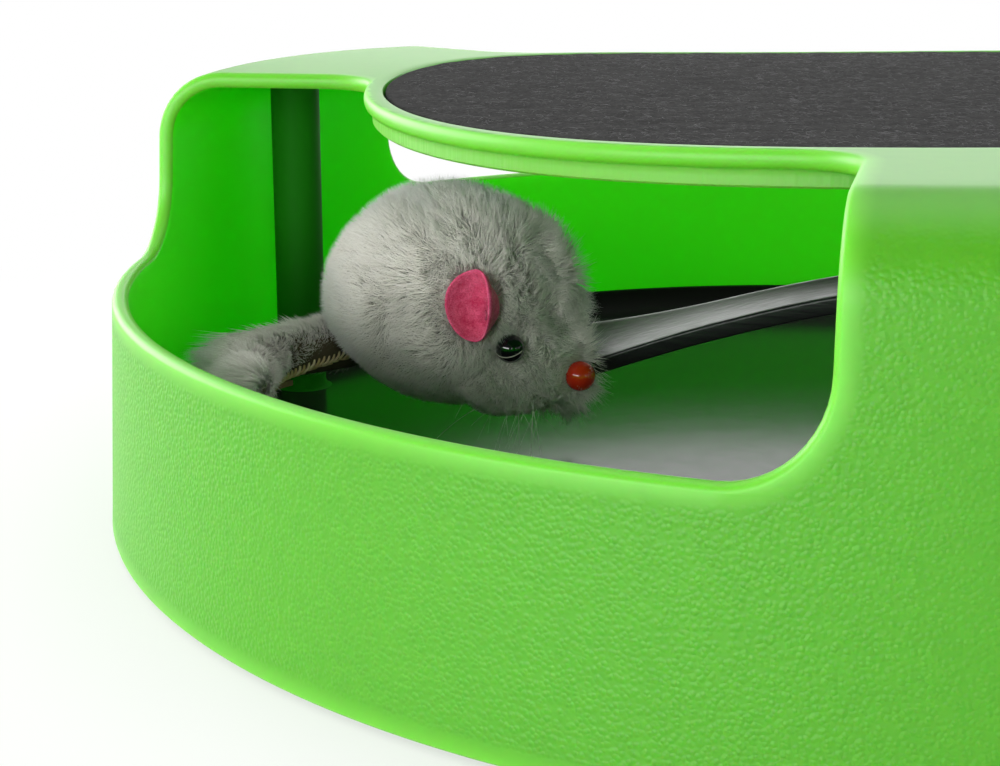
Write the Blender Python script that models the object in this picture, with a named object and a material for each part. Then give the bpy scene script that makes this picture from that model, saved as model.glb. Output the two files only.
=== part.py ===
"""Cat scratching plate: a green drum with three windows, a felt pad on its plate, and a fur mouse inside.

The mouse rides on a flexible arm that turns freely round a spindle in the middle of the black base plate.
Metres, +Z up. The origin is on the table, on the drum's axis. An azimuth of zero points along -Y, and a
growing azimuth turns towards +X.
"""
import math

import bmesh
import bpy
import numpy as np
from mathutils import Matrix, Vector

MM = 0.001

# Clearances
SEAT_GAP = 0.3 * MM             # between pieces that seat on each other
RUN_GAP = 0.3 * MM              # round the spindle, where the hub turns
CUT_OVERRUN = 1.0 * MM          # how far a cutter runs past what it cuts

# Stance
STAND_HEIGHT = 0.6 * MM         # the drum's foot above the table, on the rubber feet

# Drum wall
FOOT_RADIUS = 123.0 * MM        # outside of the wall at its foot
WALL_DRAFT = math.radians(2.75)
WALL_THICKNESS = 2.4 * MM
EDGE_ROUND = 0.8 * MM           # how far a rounded edge bulges past its skin
COVER_HEIGHT = 64.0 * MM        # roof of the bridges, above the drum's foot
WINDOW_HEIGHT = 30.0 * MM       # from the low wall's rim up to the roof
RIM_HEIGHT = COVER_HEIGHT - WINDOW_HEIGHT
ROOF_THICKNESS = 2.4 * MM
SHOULDER_RADIUS = 11.0 * MM     # between wall and roof, outside

# Bridges and windows
BRIDGE_COUNT = 3
BRIDGE_AZIMUTH = math.radians(15.4)
BRIDGE_HALF_ANGLE = math.radians(17.45)
WINDOW_CORNER = 12.0 * MM       # where a bridge's side meets the low rim
PLATE_CORNER = 10.0 * MM        # where a bridge's side meets the plate

# Plate that carries the pad
RACE_WIDTH = 40.6 * MM          # from the plate's edge out to the drum's foot
PLATE_RADIUS = FOOT_RADIUS - RACE_WIDTH
PLATE_DEPTH = 4.7 * MM          # from the plate's top to its underside
PLATE_STEP = 0.5 * MM           # set-back of the plate's lower edge
PLATE_WAVE = 0.97 * MM          # the plate's edge is this much high at a bridge and low in a window
PAD_BORDER = 2.5 * MM           # bare edge of the plate round the pad
PAD_RADIUS = PLATE_RADIUS - PAD_BORDER
PAD_THICKNESS = 2.5 * MM
PAD_RECESS = 2.6 * MM
PAD_EDGE_ROUND = 0.5 * MM
SOCKET_DEPTH = 8.0 * MM         # collar under the plate that takes the spindle's top
SOCKET_WALL = 2.4 * MM

# Base plate
FLOOR_THICKNESS = 2.4 * MM
LIP_HEIGHT = 7.5 * MM           # top of the raised lip, above the drum's foot
LIP_WIDTH = 1.6 * MM
LIP_COVE = 5.1 * MM             # hollow curve from the lip down to the floor
PILLAR_RADIUS = 6.8 * MM
PILLAR_FILLET = 2.0 * MM
PILLAR_WALL = 2.4 * MM

# Screw posts
POST_INSET = 11.5 * MM          # from the drum's foot in to a post's axis
POST_PLACE_RADIUS = FOOT_RADIUS - POST_INSET
POST_RADIUS = 4.4 * MM
POST_BORE = 2.8 * MM
POST_TOP_GAP = 0.9 * MM         # from the post's top to the shoulder's inner curve
POST_CHAMFER = 1.0 * MM
POST_WEB_DROP = 20.0 * MM       # from the roof down to the web that the screw's head pulls on
POST_WEB_HEIGHT = COVER_HEIGHT - POST_WEB_DROP
POST_WEB = 2.5 * MM
PIN_RADIUS = 2.5 * MM
PILOT_SPARE = 1.5 * MM          # pilot hole past the screw's tip
SCREW_RADIUS = 1.2 * MM
SCREW_HEAD_RADIUS = 2.4 * MM
SCREW_HEAD_HEIGHT = 1.8 * MM
SCREW_RECESS = 0.9 * MM
SCREW_RECESS_ARM = 0.45 * MM    # half width of the cross recess
SCREW_BITE = 11.0 * MM          # length of the screw inside the pin
SCREW_DOME_SHARES = (0.7, 0.4)  # the head's flat, of its radius, and its rounded part, of its height
SCREW_TIP_SHARE = 0.2           # the flat of the tip, of the screw's radius

# Rubber feet
RUBBER_RADIUS = 7.0 * MM
RUBBER_INSET = 25.0 * MM        # from the drum's foot in to a rubber foot's middle
RUBBER_PLACE_RADIUS = FOOT_RADIUS - RUBBER_INSET
RUBBER_SEAT_DEPTH = 1.0 * MM
RUBBER_ROUND = 0.3 * MM

# Hub
SPINDLE_RADIUS = 3.0 * MM
SLEEVE_WALL = 1.2 * MM
HUB_FLANGE_RADIUS = 7.2 * MM
HUB_FLANGE = 1.5 * MM
HUB_CAP_RADIUS = 6.4 * MM
HUB_CAP = 2.0 * MM
SLEEVE_STAND = 0.4 * MM         # sleeve above the hub cap
RING_RADIUS = 5.6 * MM
RING_THICKNESS = 1.4 * MM
RING_SLOT = 1.2 * MM
SMALL_ROUND = 0.3 * MM

# Rotor arm
ARM_AZIMUTH = math.radians(-97.5)
ARM_THICKNESS = 3.0 * MM
HUB_DROP = 31.1 * MM            # from the roof down to the middle of the strap where its slope starts
ARM_HUB_HEIGHT = COVER_HEIGHT - HUB_DROP
ARM_TIP_HEIGHT = 11.3 * MM      # middle of the strap where its slope ends, above the drum's foot
ARM_SLOPE_START = -16.0 * MM
ARM_START = 7.0 * MM
ARM_INSET = 57.0 * MM           # from the drum's foot in to the arm's tip
ARM_TIP = FOOT_RADIUS - ARM_INSET
ARM_SLOPE_OVERRUN = 18.0 * MM   # how far past the tip the slope would end
ARM_SLOPE_END = ARM_TIP + ARM_SLOPE_OVERRUN
ARM_HUB_WIDTH = 11.4 * MM
ARM_MIDDLE_WIDTH = 13.6 * MM
ARM_TIP_WIDTH = 14.6 * MM
ARM_HUB_TWIST = math.radians(9.0)
ARM_TIP_TWIST = math.radians(28.0)
ARM_TWIST_START_SHARE = 0.35    # of the strap's length, where its twist starts to grow
ARM_EDGE = 0.5 * MM
ARM_EYE_RADIUS = 8.2 * MM

# Mouse: its own frame has X forwards to the nose, Y to its left and Z up, on the drum's foot level
MOUSE_INSET = 50.9 * MM         # from the drum's foot in to the mouse's middle
MOUSE_PLACE_RADIUS = FOOT_RADIUS - MOUSE_INSET
MOUSE_AZIMUTH = math.radians(-92.6)
MOUSE_HEADING = math.radians(-20.0)
BODY_LENGTH = 40.4 * MM
BODY_REAR_SHARE = 0.54          # of the body's length, behind the mouse's middle
BODY_REAR = -BODY_LENGTH * BODY_REAR_SHARE
BODY_HALF_WIDTH = 16.2 * MM
BODY_HALF_HEIGHT = 16.5 * MM
BODY_FULLNESS = 0.9             # power of the swell along the body; less is fuller at the ends
BODY_STAND = 9.9 * MM           # from the strap, where it passes the eyes, up to the body's middle
HEAD_OVERLAP = 19.6 * MM        # how far the head reaches back over the body's front
HEAD_REAR = BODY_REAR + BODY_LENGTH - HEAD_OVERLAP
HEAD_LENGTH = 23.8 * MM
HEAD_HALF_WIDTH = 12.2 * MM
HEAD_HALF_HEIGHT = 11.8 * MM
HEAD_DROP = 4.0 * MM            # from the body's middle down to the head's
HEAD_DROOP = 6.0 * MM           # how far the muzzle hangs below the head's middle
HEAD_DROOP_POWER = 1.5          # more keeps the droop nearer the muzzle
HEAD_FULLNESS = 0.85
HEAD_TAPER_SHARE = 0.34         # how much narrower the muzzle is than the cheeks
HEAD_TAPER_START_SHARE = 0.333  # of the head's length
EYE_RADIUS = 2.35 * MM
EYE_ALONG_SHARE = 0.74          # of the head's length
EYE_FORWARD = HEAD_REAR + HEAD_LENGTH * EYE_ALONG_SHARE
EYE_RISE = 3.3 * MM             # above the head's middle line there
NOSE_RADIUS = 2.5 * MM
EAR_RADIUS = 5.7 * MM
EAR_WIDTH_SHARE = 0.82          # of the cup's height
EAR_THICKNESS = 1.1 * MM
EAR_CUP = 2.4 * MM
EAR_ALONG_SHARE = 0.546         # of the head's length
EAR_RISE = 2.4 * MM             # above the body's middle
EAR_SINK = 0.3 * MM             # how far the cup's back is pressed in before it is trimmed to its seat
EAR_ROOT = 1.3 * MM             # from the cup's middle forwards and down to its deepest point
EAR_LIFT = math.radians(10.0)   # how far the cup's mouth looks upwards
EAR_TURN = math.radians(22.0)   # how far the cup's mouth looks forwards
TAIL_ROOT_RADIUS = 4.4 * MM
TAIL_TIP_RADIUS = 2.6 * MM
TAIL_INSET = 21.2 * MM          # from the drum's foot in to the tail's middle line, clear of the posts
TAIL_OUT = FOOT_RADIUS - TAIL_INSET
TAIL_ROOT_DROP = 9.2 * MM       # from the body's middle down to the tail's root
TAIL_TIP_RISE = 4.5 * MM        # from the tail's root up to its tip
TAIL_LENGTH = 56.5 * MM
TAIL_SWING_SHARE = 0.45         # of the tail's length, where it has swung out to its circle
TAIL_SINK_SHARE = 0.3           # of the tail's radius, from the rump inwards to its root
TAIL_END_SHARE = 0.1            # of the tail's length, rounded off at its tip
TAIL_END_NARROWING = 0.6        # of the radius squared, lost over the rounded end
BACKING_START_SHARE = 0.333     # of the tail's length
BACKING_WIDTH = 4.0 * MM
BACKING_THICKNESS = 0.9 * MM

# Mesh counts
BRIDGE_COLUMNS = 10
WINDOW_COLUMNS = 15
CORNER_STEPS = 5
SHOULDER_STEPS = 6
ROUND_STEPS = 64
SMALL_STEPS = 24
BEAD_STEPS = 14

BEAD_OUT_SHARE = 0.5            # of a bead's radius, from the felt out to the bead's middle
EDGE_DEPTH_SHARES = (0.12, 0.5, 0.88)      # across a rounded edge, from its outer to its inner skin
EDGE_BULGE_SHARES = (0.62, 1.0, 0.62)


def clear_scene():
    for item in list(bpy.data.objects):
        bpy.data.objects.remove(item, do_unlink=True)


def make_material(name, colour, roughness, metallic=0.0):
    material = bpy.data.materials.new(name)
    material.use_nodes = True
    shader = material.node_tree.nodes["Principled BSDF"]
    shader.inputs["Base Color"].default_value = (*colour, 1.0)
    shader.inputs["Roughness"].default_value = roughness
    shader.inputs["Metallic"].default_value = metallic
    return material


def make_object(name, points, faces, material, sharp=math.radians(38.0)):
    """A closed mesh object with outward faces, smooth but for its sharp edges."""
    mesh = bpy.data.meshes.new(name)
    mesh.from_pydata([tuple(point) for point in points], [], faces)
    if material is not None:
        mesh.materials.append(material)
    work = bmesh.new()
    work.from_mesh(mesh)
    bmesh.ops.recalc_face_normals(work, faces=work.faces)
    work.to_mesh(mesh)
    work.free()
    mesh.shade_smooth()
    mesh.set_sharp_from_angle(angle=sharp)
    item = bpy.data.objects.new(name, mesh)
    bpy.context.collection.objects.link(item)
    return item


def merge_tools(tools):
    """Gathers tools that don't touch each other into the first of them."""
    work = bmesh.new()
    for tool in tools:
        work.from_mesh(tool.data)
    work.to_mesh(tools[0].data)
    work.free()
    for tool in tools[1:]:
        bpy.data.objects.remove(tool, do_unlink=True)
    return tools[0]


def combine(target, tool, operation):
    """Joins, cuts or intersects the target with a tool, applies it and removes the tool."""
    modifier = target.modifiers.new("combine", "BOOLEAN")
    modifier.operation = operation
    modifier.solver = "EXACT"
    modifier.object = tool
    graph = bpy.context.evaluated_depsgraph_get()
    mesh = bpy.data.meshes.new_from_object(target.evaluated_get(graph))
    target.modifiers.clear()
    old = target.data
    target.data = mesh
    mesh.name = target.name
    bpy.data.meshes.remove(old)
    bpy.data.objects.remove(tool, do_unlink=True)
    mesh.shade_smooth()
    mesh.set_sharp_from_angle(angle=math.radians(38.0))


def polar(radius, azimuth, height):
    return Vector((radius * math.sin(azimuth), -radius * math.cos(azimuth), height))


def turned(name, profile, steps, material, centre=(0.0, 0.0)):
    """Revolves (radius, height) points round an upright axis; an end at radius zero closes in a point."""
    points = []
    rows = []
    for radius, height in profile:
        if radius == 0.0:
            rows.append([len(points)])
            points.append((centre[0], centre[1], height))
            continue
        rows.append(list(range(len(points), len(points) + steps)))
        for step in range(steps):
            angle = 2.0 * math.pi * step / steps
            points.append((centre[0] + radius * math.sin(angle), centre[1] - radius * math.cos(angle),
                           height))
    faces = []
    closed = profile[0][0] != 0.0
    pairs = list(zip(rows, rows[1:]))
    if closed:
        pairs.append((rows[-1], rows[0]))
    for low, high in pairs:
        faces += row_faces(low, high, True)
    return make_object(name, points, faces, material)


def row_faces(low, high, ring):
    """Quads between two rows of vertex numbers, or a fan where one row is a single point."""
    faces = []
    count = max(len(low), len(high))
    last = count if ring else count - 1
    for step in range(last):
        after = (step + 1) % count
        if len(low) == 1:
            faces.append((low[0], high[after], high[step]))
        elif len(high) == 1:
            faces.append((low[step], low[after], high[0]))
        else:
            faces.append((low[step], low[after], high[after], high[step]))
    return faces


def arc(centre_radius, centre_height, radius, start, end, steps):
    """Profile points on a circle, from one angle to another, measured from outwards to up."""
    points = []
    for step in range(steps + 1):
        angle = start + (end - start) * step / steps
        points.append((centre_radius + radius * math.cos(angle), centre_height + radius * math.sin(angle)))
    return points


def plate_lift(radius, azimuth):
    """The three-lobed dip of plate and roof: high at the bridges, low over the windows."""
    share = min(radius / PLATE_RADIUS, 1.0) ** BRIDGE_COUNT
    return PLATE_WAVE * share * math.cos(BRIDGE_COUNT * (azimuth - BRIDGE_AZIMUTH))


def lift_point(point, low, high):
    """Moves a point with the plate's dip; the dip fades out between the heights high and low."""
    radius = math.hypot(point[0], point[1])
    azimuth = math.atan2(point[0], -point[1])
    share = min(max((point[2] - low) / (high - low), 0.0), 1.0)
    return (point[0], point[1], point[2] + share * plate_lift(radius, azimuth))


def lift_object(item, low, high):
    for vertex in item.data.vertices:
        vertex.co = lift_point(vertex.co, low, high)


def wall_radius(height):
    """Outside of the wall at a height above the drum's foot."""
    return FOOT_RADIUS - height * math.tan(WALL_DRAFT)


def mean_roof():
    """Roof height before the dip lifts it at the bridges."""
    return COVER_HEIGHT - PLATE_WAVE


def bridge_stations():
    """Outer and inner (radius, height) and half angle, from just over the rim to just outside the plate."""
    stations = []
    for step in range(1, CORNER_STEPS + 1):
        rise = WINDOW_CORNER * (1.0 - math.cos(0.5 * math.pi * step / CORNER_STEPS))
        height = RIM_HEIGHT + rise
        flare = WINDOW_CORNER - math.sqrt(WINDOW_CORNER ** 2 - (WINDOW_CORNER - rise) ** 2)
        radius = wall_radius(height)
        half = BRIDGE_HALF_ANGLE + flare / radius
        stations.append(((radius, height), (radius - WALL_THICKNESS, height), half))
    stations += shoulder_stations()
    roof = mean_roof()
    inner_roof = roof - ROOF_THICKNESS
    for step in range(CORNER_STEPS, 0, -1):
        reach = PLATE_CORNER * (1.0 - math.cos(0.5 * math.pi * step / CORNER_STEPS))
        radius = PLATE_RADIUS + reach
        flare = PLATE_CORNER - math.sqrt(PLATE_CORNER ** 2 - (PLATE_CORNER - reach) ** 2)
        half = BRIDGE_HALF_ANGLE + flare / radius
        stations.append(((radius, roof), (radius, inner_roof), half))
    return stations


def shoulder_stations():
    """The round shoulder from wall to roof; its inner side shares the outer side's centre."""
    roof = mean_roof()
    start = roof - SHOULDER_RADIUS * (1.0 - math.sin(WALL_DRAFT))
    centre_height = roof - SHOULDER_RADIUS
    centre_radius = wall_radius(start) - SHOULDER_RADIUS * math.cos(WALL_DRAFT)
    stations = []
    for step in range(SHOULDER_STEPS + 1):
        share = step / SHOULDER_STEPS
        angle = WALL_DRAFT + (0.5 * math.pi - WALL_DRAFT) * share
        inner = SHOULDER_RADIUS - WALL_THICKNESS + (WALL_THICKNESS - ROOF_THICKNESS) * share
        outer_point = (centre_radius + SHOULDER_RADIUS * math.cos(angle),
                       centre_height + SHOULDER_RADIUS * math.sin(angle))
        inner_point = (centre_radius + inner * math.cos(angle), centre_height + inner * math.sin(angle))
        stations.append((outer_point, inner_point, BRIDGE_HALF_ANGLE))
    return stations


def inner_roof_height(radius):
    """Height of the bridge's inside at a radius: under the flat roof, then down round the shoulder."""
    roof = mean_roof()
    start = roof - SHOULDER_RADIUS * (1.0 - math.sin(WALL_DRAFT))
    out = radius - wall_radius(start) + SHOULDER_RADIUS * math.cos(WALL_DRAFT)
    inner = SHOULDER_RADIUS - WALL_THICKNESS
    reach = min(max(out, 0.0), inner)
    return roof - SHOULDER_RADIUS + math.sqrt(inner ** 2 - reach ** 2)


def ring_azimuths(half):
    """Column azimuths all round: across each bridge, then across the window after it."""
    azimuths = []
    pitch = 2.0 * math.pi / BRIDGE_COUNT
    for bridge in range(BRIDGE_COUNT):
        middle = BRIDGE_AZIMUTH + bridge * pitch
        for column in range(BRIDGE_COLUMNS + 1):
            azimuths.append(middle + half * (2.0 * column / BRIDGE_COLUMNS - 1.0))
        for column in range(1, WINDOW_COLUMNS):
            share = column / WINDOW_COLUMNS
            azimuths.append(middle + half + (pitch - 2.0 * half) * share)
    return azimuths


class ShellMesh:
    """Collects the points and faces of the drum's cover."""

    def __init__(self):
        self.points = []
        self.faces = []

    def row(self, radius, height, azimuths):
        start = len(self.points)
        self.points += [polar(radius, azimuth, height) for azimuth in azimuths]
        return list(range(start, len(self.points)))

    def point(self, place):
        self.points.append(Vector(place))
        return len(self.points) - 1

    def join(self, low, high, ring=True):
        self.faces += row_faces(low, high, ring)

    def round_edge(self, outer, inner):
        """Closes the gap between two skins along a closed loop with an edge that bulges out of it."""
        count = len(outer)
        rows = [list(outer)]
        for depth, bulge in zip(EDGE_DEPTH_SHARES, EDGE_BULGE_SHARES):
            row = []
            for step in range(count):
                ahead = (step + 1) % count
                middle_ahead = (self.points[outer[ahead]] + self.points[inner[ahead]]) / 2.0
                middle_back = (self.points[outer[step - 1]] + self.points[inner[step - 1]]) / 2.0
                across = self.points[outer[step]] - self.points[inner[step]]
                out = across.cross(middle_ahead - middle_back).normalized()
                base = self.points[outer[step]] - across * depth
                row.append(self.point(base + out * (EDGE_ROUND * bulge)))
            rows.append(row)
        rows.append(list(inner))
        for low, high in zip(rows, rows[1:]):
            self.join(low, high)


def cover_skin(shell, rim_row, stations, plate_row, side):
    """The three bridge strips of one skin, between the rim's row and the plate's row."""
    pitch = 2.0 * math.pi / BRIDGE_COUNT
    sector = BRIDGE_COLUMNS + WINDOW_COLUMNS
    strips = []
    for bridge in range(BRIDGE_COUNT):
        middle = BRIDGE_AZIMUTH + bridge * pitch
        span = range(bridge * sector, bridge * sector + BRIDGE_COLUMNS + 1)
        rows = [[rim_row[index] for index in span]]
        for station in stations:
            radius, height = station[side]
            azimuths = [middle + station[2] * (2.0 * column / BRIDGE_COLUMNS - 1.0)
                        for column in range(BRIDGE_COLUMNS + 1)]
            rows.append(shell.row(radius, height, azimuths))
        rows.append([plate_row[index] for index in span])
        for low, high in zip(rows, rows[1:]):
            shell.join(low, high, ring=False)
        strips.append(rows)
    return strips


def window_loop(bridge, rim_row, strips, plate_row):
    """Vertex numbers round the window after a bridge: rim, next bridge's side, plate, this bridge's side."""
    sector = BRIDGE_COLUMNS + WINDOW_COLUMNS
    total = len(rim_row)
    start = bridge * sector + BRIDGE_COLUMNS
    span = [(start + step) % total for step in range(WINDOW_COLUMNS + 1)]
    after = strips[(bridge + 1) % BRIDGE_COUNT]
    here = strips[bridge]
    loop = [rim_row[index] for index in span]
    loop += [row[0] for row in after[1:-1]]
    loop += [plate_row[index] for index in reversed(span)]
    loop += [row[-1] for row in reversed(here[1:-1])]
    return loop


def plate_top(shell, edge_row, azimuths):
    """From the plate's edge over the land into the pad's recess, to the middle."""
    roof = mean_roof()
    recess = PAD_RADIUS + SEAT_GAP
    floor = roof - PAD_RECESS - SEAT_GAP
    profile = [(recess + PAD_EDGE_ROUND, roof), (recess, roof - PAD_EDGE_ROUND), (recess, floor)]
    profile += [(recess * share, floor) for share in (0.75, 0.5, 0.25)]
    rows = [edge_row] + [shell.row(radius, height, azimuths) for radius, height in profile]
    rows.append([shell.point((0.0, 0.0, floor))])
    for low, high in zip(rows, rows[1:]):
        shell.join(low, high)


def plate_underside(shell, edge_row, azimuths):
    """The set-back lower edge, the flat underside and the collar that takes the spindle."""
    roof = mean_roof()
    under_roof = roof - ROOF_THICKNESS
    bottom = roof - PLATE_DEPTH
    lower_radius = PLATE_RADIUS - PLATE_STEP
    collar = SPINDLE_RADIUS + SEAT_GAP + SOCKET_WALL
    bore = SPINDLE_RADIUS + SEAT_GAP
    profile = [(lower_radius, under_roof), (lower_radius, bottom + SMALL_ROUND),
               (lower_radius - SMALL_ROUND, bottom)]
    profile += [(collar + (lower_radius - collar) * share, bottom) for share in (0.75, 0.5, 0.25)]
    profile += [(collar, bottom), (collar, bottom - SOCKET_DEPTH), (bore, bottom - SOCKET_DEPTH), (bore, bottom)]
    rows = [edge_row] + [shell.row(radius, height, azimuths) for radius, height in profile]
    rows.append([shell.point((0.0, 0.0, bottom))])
    for low, high in zip(rows, rows[1:]):
        shell.join(low, high)


def post_places():
    pitch = 2.0 * math.pi / BRIDGE_COUNT
    return [polar(POST_PLACE_RADIUS, BRIDGE_AZIMUTH + bridge * pitch, 0.0) for bridge in range(BRIDGE_COUNT)]


def tube_with_blind_hole(name, place, radius, bore, low, high, bore_top):
    """A pin open at its lower end, used to build onto a roof."""
    profile = [(0.0, high), (radius, high), (radius, low), (bore, low), (bore, bore_top), (0.0, bore_top)]
    return turned(name, profile[::-1], SMALL_STEPS, None, (place.x, place.y))


def build_top_cover(material):
    shell = ShellMesh()
    rim_half = BRIDGE_HALF_ANGLE + WINDOW_CORNER / wall_radius(RIM_HEIGHT)
    plate_half = BRIDGE_HALF_ANGLE + PLATE_CORNER / PLATE_RADIUS
    low_azimuths = ring_azimuths(rim_half)
    plate_azimuths = ring_azimuths(plate_half)
    roof = mean_roof()
    foot_outer = shell.row(FOOT_RADIUS, EDGE_ROUND, low_azimuths)
    foot_inner = shell.row(FOOT_RADIUS - WALL_THICKNESS, EDGE_ROUND, low_azimuths)
    rim_outer = shell.row(wall_radius(RIM_HEIGHT), RIM_HEIGHT, low_azimuths)
    rim_inner = shell.row(wall_radius(RIM_HEIGHT) - WALL_THICKNESS, RIM_HEIGHT, low_azimuths)
    plate_outer = shell.row(PLATE_RADIUS, roof, plate_azimuths)
    plate_inner = shell.row(PLATE_RADIUS, roof - ROOF_THICKNESS, plate_azimuths)
    shell.join(foot_outer, rim_outer)
    shell.join(foot_inner, rim_inner)
    stations = bridge_stations()
    outer_strips = cover_skin(shell, rim_outer, stations, plate_outer, 0)
    inner_strips = cover_skin(shell, rim_inner, stations, plate_inner, 1)
    plate_top(shell, plate_outer, plate_azimuths)
    plate_underside(shell, plate_inner, plate_azimuths)
    shell.round_edge(foot_outer[::-1], foot_inner[::-1])
    for bridge in range(BRIDGE_COUNT):
        outer_loop = window_loop(bridge, rim_outer, outer_strips, plate_outer)
        inner_loop = window_loop(bridge, rim_inner, inner_strips, plate_inner)
        shell.round_edge(outer_loop, inner_loop)
    cover = make_object("top_cover", shell.points, shell.faces, material)
    pin_low = POST_WEB_HEIGHT + SEAT_GAP
    pilot_top = pin_low + SCREW_BITE + PILOT_SPARE
    pins = [tube_with_blind_hole("pin_tool", place, PIN_RADIUS, SCREW_RADIUS + SEAT_GAP, pin_low,
                                 roof - ROOF_THICKNESS / 2.0, pilot_top) for place in post_places()]
    combine(cover, merge_tools(pins), "UNION")
    lift_object(cover, RIM_HEIGHT, roof - PLATE_DEPTH - SOCKET_DEPTH)
    raise_object(cover, STAND_HEIGHT)
    return cover


def raise_object(item, height):
    for vertex in item.data.vertices:
        vertex.co.z += height


def build_scratch_pad(material):
    """A felt round that follows the plate's dip, with softened edges."""
    low = mean_roof() - PAD_RECESS
    high = low + PAD_THICKNESS
    profile = [(0.0, low), (PAD_RADIUS / 2.0, low), (PAD_RADIUS - PAD_EDGE_ROUND, low),
               (PAD_RADIUS, low + PAD_EDGE_ROUND), (PAD_RADIUS, high - PAD_EDGE_ROUND),
               (PAD_RADIUS - PAD_EDGE_ROUND, high)]
    profile += [(PAD_RADIUS * share, high) for share in (0.75, 0.5, 0.25)]
    profile.append((0.0, high))
    pad = turned("scratch_pad", profile, ROUND_STEPS, material)
    lift_object(pad, RIM_HEIGHT, mean_roof() - PLATE_DEPTH - SOCKET_DEPTH)
    raise_object(pad, STAND_HEIGHT)
    return pad


def hub_levels():
    """Heights of the hub's stack above the drum's foot, from the pillar's top upwards."""
    arm_middle = arm_height(ARM_EYE_RADIUS)
    levels = {}
    levels["eye_low"] = arm_middle - ARM_THICKNESS / 2.0
    levels["eye_high"] = arm_middle + ARM_THICKNESS / 2.0
    levels["flange_high"] = levels["eye_low"] - SEAT_GAP
    levels["flange_low"] = levels["flange_high"] - HUB_FLANGE
    levels["pillar"] = levels["flange_low"] - SEAT_GAP
    levels["cap_low"] = levels["eye_high"] + SEAT_GAP
    levels["cap_high"] = levels["cap_low"] + HUB_CAP
    levels["sleeve_high"] = levels["cap_high"] + SLEEVE_STAND
    levels["ring_low"] = levels["sleeve_high"] + SEAT_GAP
    levels["ring_high"] = levels["ring_low"] + RING_THICKNESS
    return levels


def base_profile():
    """Half section of the base plate, from the spindle's tip round to the pillar's hollow underside."""
    levels = hub_levels()
    pillar = levels["pillar"]
    spindle_high = mean_roof() - PLATE_DEPTH - SEAT_GAP
    outer_low = FOOT_RADIUS - WALL_THICKNESS - SEAT_GAP
    outer_high = wall_radius(LIP_HEIGHT) - WALL_THICKNESS - SEAT_GAP
    lip_inner = outer_high - LIP_WIDTH
    profile = [(0.0, spindle_high), (SPINDLE_RADIUS - SMALL_ROUND * 2.0, spindle_high),
               (SPINDLE_RADIUS, spindle_high - SMALL_ROUND * 2.0), (SPINDLE_RADIUS, pillar)]
    profile += [(PILLAR_RADIUS - SMALL_ROUND, pillar), (PILLAR_RADIUS, pillar - SMALL_ROUND)]
    profile += arc(PILLAR_RADIUS + PILLAR_FILLET, FLOOR_THICKNESS + PILLAR_FILLET, PILLAR_FILLET,
                   math.pi, 1.5 * math.pi, 4)
    floor_edge = lip_inner - LIP_COVE
    profile.append(((PILLAR_RADIUS + PILLAR_FILLET + floor_edge) / 2.0, FLOOR_THICKNESS))
    cove_height = LIP_HEIGHT - FLOOR_THICKNESS
    for step in range(5):
        angle = 0.5 * math.pi * step / 4.0
        profile.append((floor_edge + LIP_COVE * math.sin(angle),
                        FLOOR_THICKNESS + cove_height * (1.0 - math.cos(angle))))
    profile += [(outer_high, LIP_HEIGHT), (outer_low, 0.0)]
    hollow = PILLAR_RADIUS - PILLAR_WALL
    profile += [(hollow, 0.0), (hollow, pillar - PILLAR_WALL), (0.0, pillar - PILLAR_WALL)]
    return profile


def post_bore(centre, post_top):
    """Cutter for a post: the screw's well from below, a hole through the web, and the pin's bore above."""
    web_low = POST_WEB_HEIGHT - POST_WEB
    hole = SCREW_RADIUS + SEAT_GAP
    profile = [(0.0, -CUT_OVERRUN), (POST_BORE, -CUT_OVERRUN), (POST_BORE, web_low), (hole, web_low),
               (hole, POST_WEB_HEIGHT), (POST_BORE, POST_WEB_HEIGHT), (POST_BORE, post_top + CUT_OVERRUN),
               (0.0, post_top + CUT_OVERRUN)]
    return turned("bore_tool", profile, SMALL_STEPS, None, centre)


def rubber_seat(centre):
    radius = RUBBER_RADIUS + SEAT_GAP
    profile = [(0.0, -CUT_OVERRUN), (radius, -CUT_OVERRUN), (radius, RUBBER_SEAT_DEPTH), (0.0, RUBBER_SEAT_DEPTH)]
    return turned("seat_tool", profile, SMALL_STEPS, None, centre)


def build_base_plate(material):
    base = turned("base_plate", base_profile(), ROUND_STEPS, material)
    post_top = min(inner_roof_height(POST_PLACE_RADIUS + POST_RADIUS - POST_CHAMFER),
                   inner_roof_height(POST_PLACE_RADIUS + POST_RADIUS) + POST_CHAMFER) - POST_TOP_GAP
    post_low = FLOOR_THICKNESS / 2.0
    post_profile = [(0.0, post_low), (POST_RADIUS, post_low), (POST_RADIUS, post_top - POST_CHAMFER),
                    (POST_RADIUS - POST_CHAMFER, post_top), (0.0, post_top)]
    posts = []
    cutters = []
    for place in post_places():
        posts.append(turned("post_tool", post_profile, SMALL_STEPS, None, (place.x, place.y)))
        cutters.append(post_bore((place.x, place.y), post_top))
    cutters += [rubber_seat((place.x, place.y)) for place in rubber_places()]
    combine(base, merge_tools(posts), "UNION")
    combine(base, merge_tools(cutters), "DIFFERENCE")
    raise_object(base, STAND_HEIGHT)
    return base


def rubber_places():
    pitch = 2.0 * math.pi / BRIDGE_COUNT
    return [polar(RUBBER_PLACE_RADIUS, BRIDGE_AZIMUTH + (bridge + 0.5) * pitch, 0.0)
            for bridge in range(BRIDGE_COUNT)]


def build_rubber_feet(material):
    for number, place in enumerate(rubber_places(), 1):
        top = STAND_HEIGHT + RUBBER_SEAT_DEPTH - SEAT_GAP
        profile = [(0.0, 0.0), (RUBBER_RADIUS - RUBBER_ROUND, 0.0), (RUBBER_RADIUS, RUBBER_ROUND),
                   (RUBBER_RADIUS, top), (0.0, top)]
        turned("rubber_foot_%d" % number, profile, SMALL_STEPS, material, (place.x, place.y))


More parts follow.
